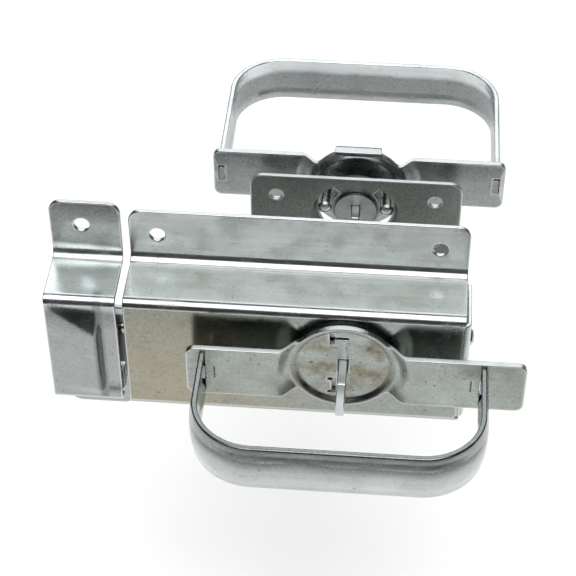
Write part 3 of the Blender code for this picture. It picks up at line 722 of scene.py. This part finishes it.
def handle_outline(x_low, x_high, tab):
    """A flat bar with a round disc at its middle. tab adds a tab on top of the disc."""
    blend = 5.0
    centre_z = ARM_HALF + blend
    centre_x = sqrt((DISC_R + blend) ** 2 - centre_z ** 2)
    touch = degrees(atan2(centre_z, centre_x))
    right = [(x_high, 0.0)] + arc(x_high - 4.0, ARM_HALF - 4.0, 4.0, 0, 90, 5)
    right += arc(centre_x, centre_z, blend, 270, 180 + touch, 5)
    top = arc(0.0, 0.0, DISC_R, touch, 180 - touch, 24)[1:-1]
    left = [(-x, z) for x, z in reversed(arc(centre_x, centre_z, blend, 270, 180 + touch, 5))]
    left += [(x_low + 4.0 - (x - x_high + 4.0), z) for x, z in
             reversed(arc(x_high - 4.0, ARM_HALF - 4.0, 4.0, 0, 90, 5))]
    upper = right + top + left + [(x_low, 0.0)]
    lower = [(x, -z) for x, z in reversed(upper[1:-1])]
    if tab:
        kept = [point for point in upper if point[1] < 22.0]
        tab_side = [(TAB_HALF_X, 21.9), (TAB_HALF_X, DISC_R + TAB_LENGTH)]
        tab_side += [(-x, z) for x, z in reversed(tab_side)]
        upper = [point for point in kept if point[0] >= 0.0] + tab_side
        upper += [point for point in kept if point[0] < 0.0]
    return upper + lower


def piercings():
    """Two bracket-shaped piercings in the front disc, beside the spindle."""
    lower = [(-6.8, -18.5), (-3.2, -18.5), (-3.2, -8.5), (-6.8, -8.5), (-6.8, -10.2), (-4.9, -10.2)]
    lower += [(-4.9, -16.8), (-6.8, -16.8)]
    upper = [(-6.2, 13.0), (-4.2, 13.0), (-4.2, 15.8), (2.4, 15.8), (2.4, 17.4), (-4.2, 17.4)]
    upper += [(-4.2, 19.2), (-6.2, 19.2)]
    return [lower, upper]


def build_handle_bar(name, sign, floor, span, grip_half, tab, finish):
    """A handle's bar: a pressed disc at the middle and two arms. sign is -1 in front, 1 behind."""
    def place(x, z):
        if tab and z > TAB_START and abs(x) <= TAB_HALF_X + 0.01:
            turn = min((z - TAB_START) / TAB_BEND, pi / 2)
            past = max(z - TAB_START - TAB_BEND * pi / 2, 0.0)
            y = floor + BAR_T + RIM_RISE - TAB_BEND * (1 - cos(turn)) - past
            return (x, y, TAB_START + TAB_BEND * sin(turn)), (0.0, cos(turn), sin(turn))
        y = sign * (floor + BAR_T + handle_rise(x, z))
        return (x, y, z), (0.0, sign, 0.0)

    holes = [spindle_bore()]
    half_x, half_z = GRIP_T / 2 + GAP, TAB_HALF_Z + GAP
    for side in (-1, 1):
        centre = side * (grip_half - GRIP_T / 2)
        holes.append(rectangle(centre - half_x, centre + half_x, -half_z, half_z))
    if tab:
        holes += [circle(x, 0.0, STOP_RIVET_R + GAP, 20) for x in (-STOP_R, STOP_R)]
    else:
        holes += piercings()
    guides = []
    radii = [20.3 + 0.3 * step for step in range(11)] + [24.5 + 0.75 * step for step in range(17)]
    for radius in radii:
        if radius > ARM_START:
            reach = degrees(asin(ARM_HALF / radius)) + 3
            guides += [arc(0.0, 0.0, radius, side - reach, side + reach, 24) for side in (0, 180)]
        else:
            guides.append(closed_ring(radius))
    if tab:
        for index in range(BEND_STEPS + 1):
            z = TAB_START + TAB_BEND * pi / 2 * index / BEND_STEPS
            guides.append([(-TAB_HALF_X, z), (TAB_HALF_X, z)])
    return sheet(name, handle_outline(*span, tab), holes, guides, place, BAR_T, finish)


def grip_path(half_x, reach):
    """Stations along a grip's centre line: X, distance out, and the outward direction."""
    half = half_x - GRIP_T / 2
    stations = [((half, 0.0), (1.0, 0.0)), ((half, reach - GRIP_R), (1.0, 0.0))]
    for index in range(1, 25):
        turn = radians(90 * index / 24)
        out = (cos(turn), sin(turn))
        stations.append(((half - GRIP_R + GRIP_R * out[0], reach - GRIP_R + GRIP_R * out[1]), out))
    mirrored = [((-x, y), (-a, b)) for (x, y), (a, b) in reversed(stations)]
    return stations + mirrored


def strip_section(half_width, crown):
    """A strip's cross-section as (outwards, height) pairs: crowned, with rounded corners."""
    radius = 0.8
    flat, tall = GRIP_T / 2 - radius, half_width - radius
    loop = []
    for side, up, start in ((1, 1, 0), (-1, 1, 90), (-1, -1, 180), (1, -1, 270)):
        loop += arc(side * flat, up * tall, radius, start, start + 90, 4)
        if start in (90, 270):
            rows = [2 * index / STRIP_ROWS - 1 for index in range(1, STRIP_ROWS)]
            loop += [(side * GRIP_T / 2, -up * row * tall) for row in rows]
    section = []
    for out, height in loop:
        share = abs(height) / half_width
        shoulder = 0.3 * smooth_step((share - 0.52) / 0.13)
        section.append((out + crown * (1 - share ** 2 - shoulder), height))
    return section


def build_grip(name, sign, base, half_x, reach, finish):
    """A U-shaped grip bent from crowned strip, its ends staked through the bar."""
    wide, narrow = strip_section(GRIP_HALF_Z, GRIP_CROWN), strip_section(TAB_HALF_Z, 0.0)

    def ring(centre, out, section):
        points = []
        for offset, height in section:
            x = centre[0] + out[0] * offset
            points.append((x, sign * (base + centre[1] + out[1] * offset), height))
        return points

    path = grip_path(half_x, reach)
    tab_end = -BAR_T - 0.5
    leg = half_x - GRIP_T / 2
    foot = [(tab_end, narrow), (GAP, narrow), (GAP, wide)]
    start = [ring((leg, y), (1.0, 0.0), section) for y, section in foot]
    middle = [ring(centre, out, wide) for centre, out in path[1:-1]]
    end = [ring((-leg, y), (-1.0, 0.0), section) for y, section in reversed(foot)]
    rings = start + middle + end
    count = len(rings[0])
    points = [point for loop in rings for point in loop]
    faces = []
    for low in range(0, (len(rings) - 1) * count, count):
        for index in range(count):
            after = (index + 1) % count
            faces.append([low + index, low + after, low + count + after, low + count + index])
    faces.append(list(range(count)))
    faces.append([len(points) - count + index for index in range(count)])
    return make_object(name, points, faces, finish)


def build_front_hub(finish):
    """The flanged sleeve that carries the front handle in the case's front wall."""
    inside_wall = -DEPTH + SHEET
    stations = [(-FRONT_FLOOR + GAP, 9.5), (-DEPTH - GAP, 9.5), (-DEPTH - GAP, 5.7)]
    stations += [(inside_wall + GAP, 5.7), (inside_wall + GAP, 8.5), (inside_wall + 2.0, 8.5)]
    return turned("front_hub_sleeve", stations, finish, bore=spindle_bore())


def build_rear_hub(finish):
    """The flanged sleeve between the rear handle's disc and the rear plate's dished floor."""
    floor = GATE + SHEET + PLATE_DISH
    stations = [(floor - SHEET - GAP - 1.8, 10.3), (floor - SHEET - GAP, 10.3), (floor - SHEET - GAP, 5.6)]
    stations += [(REAR_FLOOR - GAP, 5.6)]
    return turned("rear_hub_sleeve", stations, finish, bore=spindle_bore())


def kidney(side):
    """A kidney slot round a stop rivet, on the right for 1 and the left for -1."""
    reach = LIFT_TURN + SLOT_TURN
    inner, outer = STOP_R - 3.0, STOP_R + 3.0
    loop = arc(0.0, 0.0, outer, -reach, reach, 14)
    loop += arc(0.0, 0.0, inner, reach, -reach, 12)
    return [(side * x, z) for x, z in loop]


def build_rear_plate(finish):
    """The rear plate: four screw holes and a round dish with two kidney slots in its floor."""
    def place(x, z):
        radius = hypot(x, z)
        sunk = PLATE_DISH * (1 - smooth_step((radius - 19.6) / 3.0))
        return (x, GATE + sunk, z), (0.0, -1.0, 0.0)

    outline = rectangle(-PLATE_HALF_X, PLATE_HALF_X, -PLATE_HALF_Z, PLATE_HALF_Z, 6.5, 6)
    holes = [circle(0.0, 0.0, HUB_HOLE), kidney(1), kidney(-1)]
    for x in (-PLATE_HOLE[0], PLATE_HOLE[0]):
        for z in (-PLATE_HOLE[1], PLATE_HOLE[1]):
            holes.append(circle(x, z, 3.1, 24))
    guides = [closed_ring(19.4 + 0.3 * step) for step in range(12)]
    return sheet("rear_plate", outline, holes, guides, place, SHEET, finish)


def build_stop_rivets(finish):
    """The two rivets on the rear handle's disc that run in the rear plate's kidney slots."""
    floor = GATE + PLATE_DISH
    back = REAR_FLOOR + BAR_T
    stations = [(floor - 1.7, 1.0), (floor - 1.4, 2.4), (floor - GAP, 3.7), (floor - GAP, STOP_RIVET_R)]
    stations += [(back + GAP, STOP_RIVET_R), (back + GAP, 3.4), (back + 1.2, 2.4)]
    for name, x in (("rear_stop_rivet_left", -STOP_R), ("rear_stop_rivet_right", STOP_R)):
        turned(name, stations, finish, centre=(x, 0.0), segments=40)


def add_node(tree, kind, settings=None, **inputs):
    """A shader node with its settings, and its inputs by name, each a value or another node's output."""
    node = tree.nodes.new("ShaderNode" + kind)
    for key, value in (settings or {}).items():
        setattr(node, key, value)
    for key, value in inputs.items():
        connect(tree, value, node.inputs[key.replace("_", " ")])
    return node


def connect(tree, value, socket):
    """Link an output to a socket, or set the socket's own value."""
    if isinstance(value, bpy.types.NodeSocket):
        tree.links.new(value, socket)
    else:
        socket.default_value = value


def spread(tree, value, low, high, start=0.0, end=1.0):
    """A value mapped from low..high to start..end, and clamped."""
    inputs = {"Value": value, "From_Min": low, "From_Max": high, "To_Min": start, "To_Max": end}
    return add_node(tree, "MapRange", **inputs).outputs[0]


def axes(tree, where):
    """The three coordinates, in metres."""
    return add_node(tree, "SeparateXYZ", Vector=where).outputs


def clouds(tree, where, scale, detail, low, high, stretch=None):
    """Soft noise from 0 to 1. stretch scales the coordinates first."""
    if stretch:
        where = add_node(tree, "Mapping", Vector=where, Scale=stretch).outputs[0]
    noise = add_node(tree, "TexNoise", Vector=where, Scale=scale, Detail=detail)
    return spread(tree, noise.outputs[0], low, high)


def combine(tree, kind, first, second):
    """Two numbers added, multiplied and so on."""
    node = add_node(tree, "Math", {"operation": kind})
    connect(tree, first, node.inputs[0])
    connect(tree, second, node.inputs[1])
    return node.outputs[0]


def times(tree, first, second):
    """Two numbers multiplied."""
    return combine(tree, "MULTIPLY", first, second)


def plus(tree, first, second, amount):
    """A number plus an amount of another."""
    return combine(tree, "ADD", first, times(tree, second, amount))


def mix(tree, share, first, second, kind="MIX"):
    """Two colours mixed, each an output or three values."""
    node = add_node(tree, "Mix", {"data_type": "RGBA", "blend_type": kind})
    connect(tree, share, node.inputs[0])
    for value, socket in ((first, 6), (second, 7)):
        connect(tree, (*value, 1.0) if isinstance(value, tuple) else value, node.inputs[socket])
    return node.outputs[2]


def uneven_height(tree, where):
    """The height in metres, with broad soft noise added."""
    noise = add_node(tree, "TexNoise", Vector=where, Scale=30.0, Detail=2.0).outputs[0]
    height = axes(tree, where)[2]
    return plus(tree, height, combine(tree, "SUBTRACT", noise, 0.5), 0.006)


def spindle_distance(tree, where):
    """The distance from the spindle's axis, in metres."""
    flat = add_node(tree, "VectorMath", {"operation": "MULTIPLY"})
    connect(tree, where, flat.inputs[0])
    connect(tree, (1.0, 0.0, 1.0), flat.inputs[1])
    near = add_node(tree, "VectorMath", {"operation": "DISTANCE"})
    connect(tree, flat.outputs[0], near.inputs[0])
    connect(tree, (-ORIGIN.x * MM, 0.0, -ORIGIN.z * MM), near.inputs[1])
    return near.outputs["Value"]


def painted_face_reflection(tree, where, cloud, colour, face):
    """Painted reflection on the foremost face, laid over a colour: tones from its top downwards, and cooler
    to the right.
    """
    x, y, z = axes(tree, where)
    front = spread(tree, y, (1.6 - DEPTH) * MM, (0.6 - DEPTH) * MM)
    top = (CASE_Z + CASE_HALF - ORIGIN.z) * MM
    tone = mix(tree, spread(tree, uneven_height(tree, where), top - 0.004, top - 0.034), *face)
    tone = mix(tree, times(tree, cloud, 0.35), tone, OLIVE_TONE)
    tone = mix(tree, spread(tree, x, -0.045, 0.03, 0.0, 0.85), tone, COOL_TONE)
    return mix(tree, front, colour, tone)


def groove_shade(tree, where, groove):
    """A painted dark reflection along a pressed crease on the foremost face, between two X values."""
    x, y, z = axes(tree, where)
    low, high = [(end - ORIGIN.x) * MM for end in groove]
    across = times(tree, spread(tree, x, low - 0.001, low), spread(tree, x, high + 0.0015, high))
    return times(tree, across, spread(tree, y, -0.024, -0.027, 0.0, 0.5))


def zinc(name, light, dull, stain=0.25, roughness=0.22, wave=1.0, disc=0.0, specks=0.4, face=None,
         bands=None, groove=None):
    """Zinc-plated steel: two tones in soft clouds, brown stains, rolling streaks, dark specks, a fine
    crystal grain, brighter worn cut edges and a slightly wavy face. disc adds stains round the spindle
    and a painted shadow in the lower half of the disc's rim, with dark slits beside the grip's legs.
    face gives the painted reflection on the foremost face, its tones at its top and lower down. bands
    darkens the piece by height with painted reflection, as (Z, share) pairs. groove is the X range of a
    painted dark reflection along a pressed crease on the foremost face."""
    material = bpy.data.materials.new(name)
    material.use_nodes = True
    tree = material.node_tree
    shader = tree.nodes["Principled BSDF"]
    shader.inputs["Metallic"].default_value = 1.0
    where = add_node(tree, "TexCoord").outputs["Object"]

    cloud = clouds(tree, where, 26.0, 4.0, 0.36, 0.64)
    blotch = clouds(tree, where, 85.0, 6.0, 0.46, 0.72)
    line = clouds(tree, where, 1.0, 3.0, 0.3, 0.7, stretch=STREAK_SCALE)
    grain = clouds(tree, where, 900.0, 3.0, 0.3, 0.7)
    pits = clouds(tree, where, 520.0, 3.0, 0.64, 0.72)
    cut = add_node(tree, "Attribute", {"attribute_name": "edge"}).outputs["Fac"]
    wear = spread(tree, cut, 0.12, 0.75, 1.0, 0.0)

    dirt = times(tree, blotch, stain)
    if disc:
        radius = spindle_distance(tree, where)
        patch = clouds(tree, where, 130.0, 5.0, 0.42, 0.62)
        ring = times(tree, spread(tree, radius, 0.0195, 0.0245, 1.0, 0.0), patch)
        dirt = combine(tree, "MAXIMUM", dirt, times(tree, ring, disc))
    colour = mix(tree, cloud, light, dull)
    # painted reflection on the foremost face
    if face:
        colour = painted_face_reflection(tree, where, cloud, colour, face)
    # painted reflection: darker bands by height, multiplied over the colour
    if bands:
        colour = mix(tree, 1.0, colour, painted_reflection_by_height(tree, where, bands), "MULTIPLY")
    # painted dark reflection in a pressed crease
    if groove:
        colour = mix(tree, groove_shade(tree, where, groove), colour, CREASE_REFLECTION_TONE)
    if disc:
        # painted shadow under the disc's rim
        colour = mix(tree, painted_rim_shadow(tree, where, radius), colour, RIM_SHADOW_TONE)
        colour = mix(tree, slit_shade(tree, where), colour, SLIT_TONE)
    colour = mix(tree, dirt, colour, STAIN_TONE)
    layers = ((line, 0.16, STREAK_TONE), (grain, 0.14, GRAIN_TONE))
    for layer, amount, tone in layers + ((pits, specks, PIT_TONE), (wear, 0.8, WORN_TONE)):
        colour = mix(tree, times(tree, layer, amount), colour, tone)
    tree.links.new(colour, shader.inputs["Base Color"])

    rough = spread(tree, blotch, 0.0, 1.0, roughness, roughness + 0.10)
    rough = plus(tree, plus(tree, rough, line, 0.05), dirt, 0.25)
    tree.links.new(rough, shader.inputs["Roughness"])

    swell = add_node(tree, "TexNoise", Vector=where, Scale=38.0, Detail=2.0).outputs[0]
    height = times(tree, swell, 0.000045 * wave)
    for layer, amount in ((grain, 0.0000022), (line, 0.0000012), (pits, -0.000012)):
        height = plus(tree, height, layer, amount)
    bump = add_node(tree, "Bump", Height=height, Distance=1.0, Strength=1.0)
    tree.links.new(bump.outputs[0], shader.inputs["Normal"])
    return material


def painted_reflection_by_height(tree, where, bands):
    """A painted reflection: a grey that follows height through (Z, share) pairs, with a slightly uneven
    border.
    """
    bands = sorted(bands)
    low, high = bands[0][0], bands[-1][0]
    share = spread(tree, uneven_height(tree, where), (low - ORIGIN.z) * MM, (high - ORIGIN.z) * MM)
    ramp = add_node(tree, "ValToRGB", Fac=share)
    stops = ramp.color_ramp.elements
    while len(stops) < len(bands):
        stops.new(0.5)
    for stop, (z, _) in zip(list(stops), bands):
        stop.position = (z - low) / (high - low)
    for stop, (_, tone) in zip(list(stops), bands):
        stop.color = (tone, tone, tone, 1.0)
    return ramp.outputs[0]


def painted_rim_shadow(tree, where, radius):
    """A painted shadow in the lower half of a disc's pressed rim."""
    height = axes(tree, where)[2]
    ring = times(tree, spread(tree, radius, 0.0198, 0.0212), spread(tree, radius, 0.0244, 0.0232))
    middle = -ORIGIN.z * MM
    return times(tree, ring, spread(tree, height, middle + 0.004, middle - 0.008, 0.15, 0.85))


def slit_shade(tree, where):
    """A fine stamped slit beside each leg of the front grip."""
    x, y, z = axes(tree, where)
    across = combine(tree, "ABSOLUTE", combine(tree, "ADD", x, ORIGIN.x * MM), 0.0)
    slit = (FRONT_GRIP_HALF - GRIP_T - 4.2) * MM
    across = combine(tree, "ABSOLUTE", combine(tree, "SUBTRACT", across, slit), 0.0)
    tall = combine(tree, "ABSOLUTE", combine(tree, "ADD", z, ORIGIN.z * MM), 0.0)
    return times(tree, spread(tree, across, 0.00045, 0.0003), spread(tree, tall, 0.0037, 0.0034))


def direction(azimuth, elevation):
    """The direction from the latch to an azimuth, 0 in front, and an elevation, in degrees."""
    turn, rise = radians(azimuth), radians(elevation)
    return Vector((sin(turn) * cos(rise), -cos(turn) * cos(rise), sin(rise)))


def add_softbox(name, azimuth, elevation, distance, size, radiance, colour, mirrored=True):
    """A large soft light that looks at the latch from a direction: azimuth 0 is in front. mirrored is
    whether the metal shows its reflection."""
    way = direction(azimuth, elevation)
    light = bpy.data.lights.new(name, "AREA")
    light.shape = "RECTANGLE"
    light.size, light.size_y = size
    light.energy = radiance * size[0] * size[1] * LIGHT_SCALE
    light.color = colour
    thing = add_object(name, light)
    thing.location = AIM * MM + way * distance
    thing.rotation_euler = way.to_track_quat("Z", "Y").to_euler()
    thing.visible_glossy = mirrored


def matt_object(name, points, faces, cover, colour, roughness):
    """A mesh with a plain matt material, and that material's shader."""
    mesh = bpy.data.meshes.new(name)
    mesh.from_pydata(points, [], faces)
    thing = add_object(name, mesh)
    material = bpy.data.materials.new(cover)
    material.use_nodes = True
    shader = material.node_tree.nodes["Principled BSDF"]
    shader.inputs["Base Color"].default_value = (*colour, 1.0)
    shader.inputs["Roughness"].default_value = roughness
    mesh.materials.append(material)
    return thing, shader


def add_surround():
    """A dark curved wall in front of the latch, seen only in reflections, as a dim studio is."""
    ring = arc(AIM.x, AIM.y, SURROUND_R, 190, 350, 48)
    count = len(ring)
    levels = (FLOOR_Z + 0.01, FLOOR_Z + SURROUND_TALL)
    points = [(x * MM, y * MM, z) for z in levels for x, y in ring]
    faces = [(i, i + 1, count + i + 1, count + i) for i in range(count - 1)]
    surround, _ = matt_object("surround", points, faces, "surround_cloth", (0.06, 0.06, 0.063), 1.0)
    surround.visible_camera = False
    surround.visible_diffuse = False
    surround.visible_shadow = False


def add_stage():
    """A plain pale floor well below the latch, soft lights and a dim room."""
    corners = [(x, y, FLOOR_Z) for x, y in rectangle(-FLOOR_HALF, FLOOR_HALF, -FLOOR_HALF, FLOOR_HALF)]
    floor, shader = matt_object("floor", corners, [(0, 1, 2, 3)], "floor_paper", (0.88, 0.88, 0.87), 0.9)
    shader.inputs["Specular IOR Level"].default_value = 0.1

    add_softbox("front_softbox", 4.0, 60.0, 1.25, (1.3, 1.25), 2.1, (1.0, 0.99, 0.975))
    add_softbox("back_softbox", 180.0, 46.0, 1.3, (1.9, 1.1), 1.25, (0.94, 0.985, 1.0))
    add_softbox("top_softbox", 0.0, 90.0, 1.3, (1.6, 1.6), 1.65, (1.0, 1.0, 0.99), mirrored=False)
    add_surround()
    world = bpy.data.worlds.new("room")
    world.use_nodes = True
    background = world.node_tree.nodes["Background"]
    background.inputs["Color"].default_value = (0.10, 0.10, 0.104, 1.0)
    background.inputs["Strength"].default_value = 1.0
    bpy.context.scene.world = world
    bpy.context.scene.view_settings.view_transform = "Standard"


def add_camera():
    """The camera: it looks down on the latch from the front, a little from the right."""
    turn, roll = radians(AZIMUTH), radians(ROLL)
    back = direction(AZIMUTH, ELEVATION)
    right = Vector((cos(turn), sin(turn), 0.0))
    up = back.cross(right)
    side = right * cos(roll) + up * sin(roll)
    top = up * cos(roll) - right * sin(roll)
    camera = bpy.data.cameras.new("camera")
    camera.sensor_width = 36.0
    camera.lens = LENS
    camera.clip_start = 0.02
    thing = add_object("camera", camera)
    rotation = Matrix((side, top, back)).transposed().to_4x4()
    thing.matrix_world = Matrix.Translation(AIM * MM + back * VIEW_DISTANCE * MM) @ rotation
    bpy.context.scene.camera = thing


def plated(slot, name, light, dull, **looks):
    """A finish: a zinc material, paired with the name of one of the record's slots."""
    return zinc(name + "_plating", light, dull, **looks), slot


def main():
    """Build every shown piece, the stage and the camera."""
    add_camera()
    add_stage()
    # the case's face tones are painted reflection: darker at the top of the front face, browner lower down
    face = plated("case_zinc", "case", (0.46, 0.495, 0.49), (0.41, 0.43, 0.42), stain=0.14,
                  roughness=0.17, face=((0.21, 0.22, 0.17), (0.31, 0.285, 0.21)))
    inner = plated("inner_zinc", "inner", (0.36, 0.37, 0.37), (0.25, 0.25, 0.24), stain=0.4, roughness=0.32)
    # the strike's bands are painted reflection: bright along its crest, dark beside it
    strike = plated("strike_zinc", "strike", (0.72, 0.78, 0.77), (0.63, 0.67, 0.66), stain=0.1,
                    roughness=0.18, groove=(-113.0, -110.5),
                    bands=((-36, 0.5), (8, 0.45), (20, 0.25), (27, 1.0), (34, 1.0), (36, 0.22),
                           (47, 0.36), (60, 0.12)))
    # the front bar and grip take darker tones than the rear bar and grip on the same plating: painted shade
    # in front, painted light behind
    bar = plated("handle_zinc", "front_bar", (0.35, 0.39, 0.365), (0.27, 0.29, 0.265), roughness=0.24,
                 disc=0.85, specks=0.8)
    # the rear bar's bands are painted reflection by height
    rear = plated("handle_zinc", "rear_bar", (0.42, 0.47, 0.475), (0.34, 0.36, 0.36), stain=0.2,
                  bands=((-12, 0.75), (3, 0.6), (12, 0.35), (16, 1.0)))
    # the grips' bands are painted reflection across the crowned strip
    grip = plated("grip_zinc", "grip", (0.59, 0.63, 0.63), (0.50, 0.53, 0.525), stain=0.12, roughness=0.17,
                  wave=2.0, bands=((-12, 0.85), (-8, 1.0), (0, 0.7), (5, 0.2), (7, 0.6), (12, 0.35)))
    back_grip = plated("grip_zinc", "rear_grip", (0.74, 0.79, 0.80), (0.60, 0.63, 0.64), stain=0.12,
                       roughness=0.18, wave=2.5,
                       bands=((-11, 0.55), (-6, 0.3), (3, 0.3), (6, 0.9), (12, 1.0)))
    dark = plated("rear_plate_zinc", "rear_plate", (0.17, 0.18, 0.165), (0.12, 0.13, 0.118), stain=0.35,
                  roughness=0.36)
    bright = plated("spindle_zinc", "spindle", (0.58, 0.62, 0.65), (0.48, 0.50, 0.52), stain=0.1,
                    roughness=0.3)
    steel = plated("rivet_steel", "rivet", (0.55, 0.56, 0.56), (0.40, 0.40, 0.39), stain=0.2, roughness=0.2)

    build_case(face)
    build_back_plate(inner)
    build_end_rivet(steel)
    build_strike(strike)
    build_latch_bar(inner)
    build_nose_plate(inner)
    build_nose_rivets(steel)
    build_pivot_pin(steel)
    build_pivot_spacer(inner)
    build_lift_cam(inner)
    build_spindle(bright)
    build_handle_bar("front_handle_bar", -1, FRONT_FLOOR, FRONT_BAR_X, FRONT_GRIP_HALF, False, bar)
    arm = BAR_T + RIM_RISE + ARM_RISE
    build_grip("front_grip", -1, FRONT_FLOOR + arm, FRONT_GRIP_HALF, FRONT_GRIP_OUT, grip)
    build_front_hub(inner)
    build_rear_plate(dark)
    build_handle_bar("rear_handle_bar", 1, REAR_FLOOR, REAR_BAR_X, REAR_GRIP_HALF, True, rear)
    build_grip("rear_grip", 1, REAR_FLOOR + arm, REAR_GRIP_HALF, REAR_GRIP_OUT, back_grip)
    build_rear_hub(inner)
    build_stop_rivets(steel)


main()
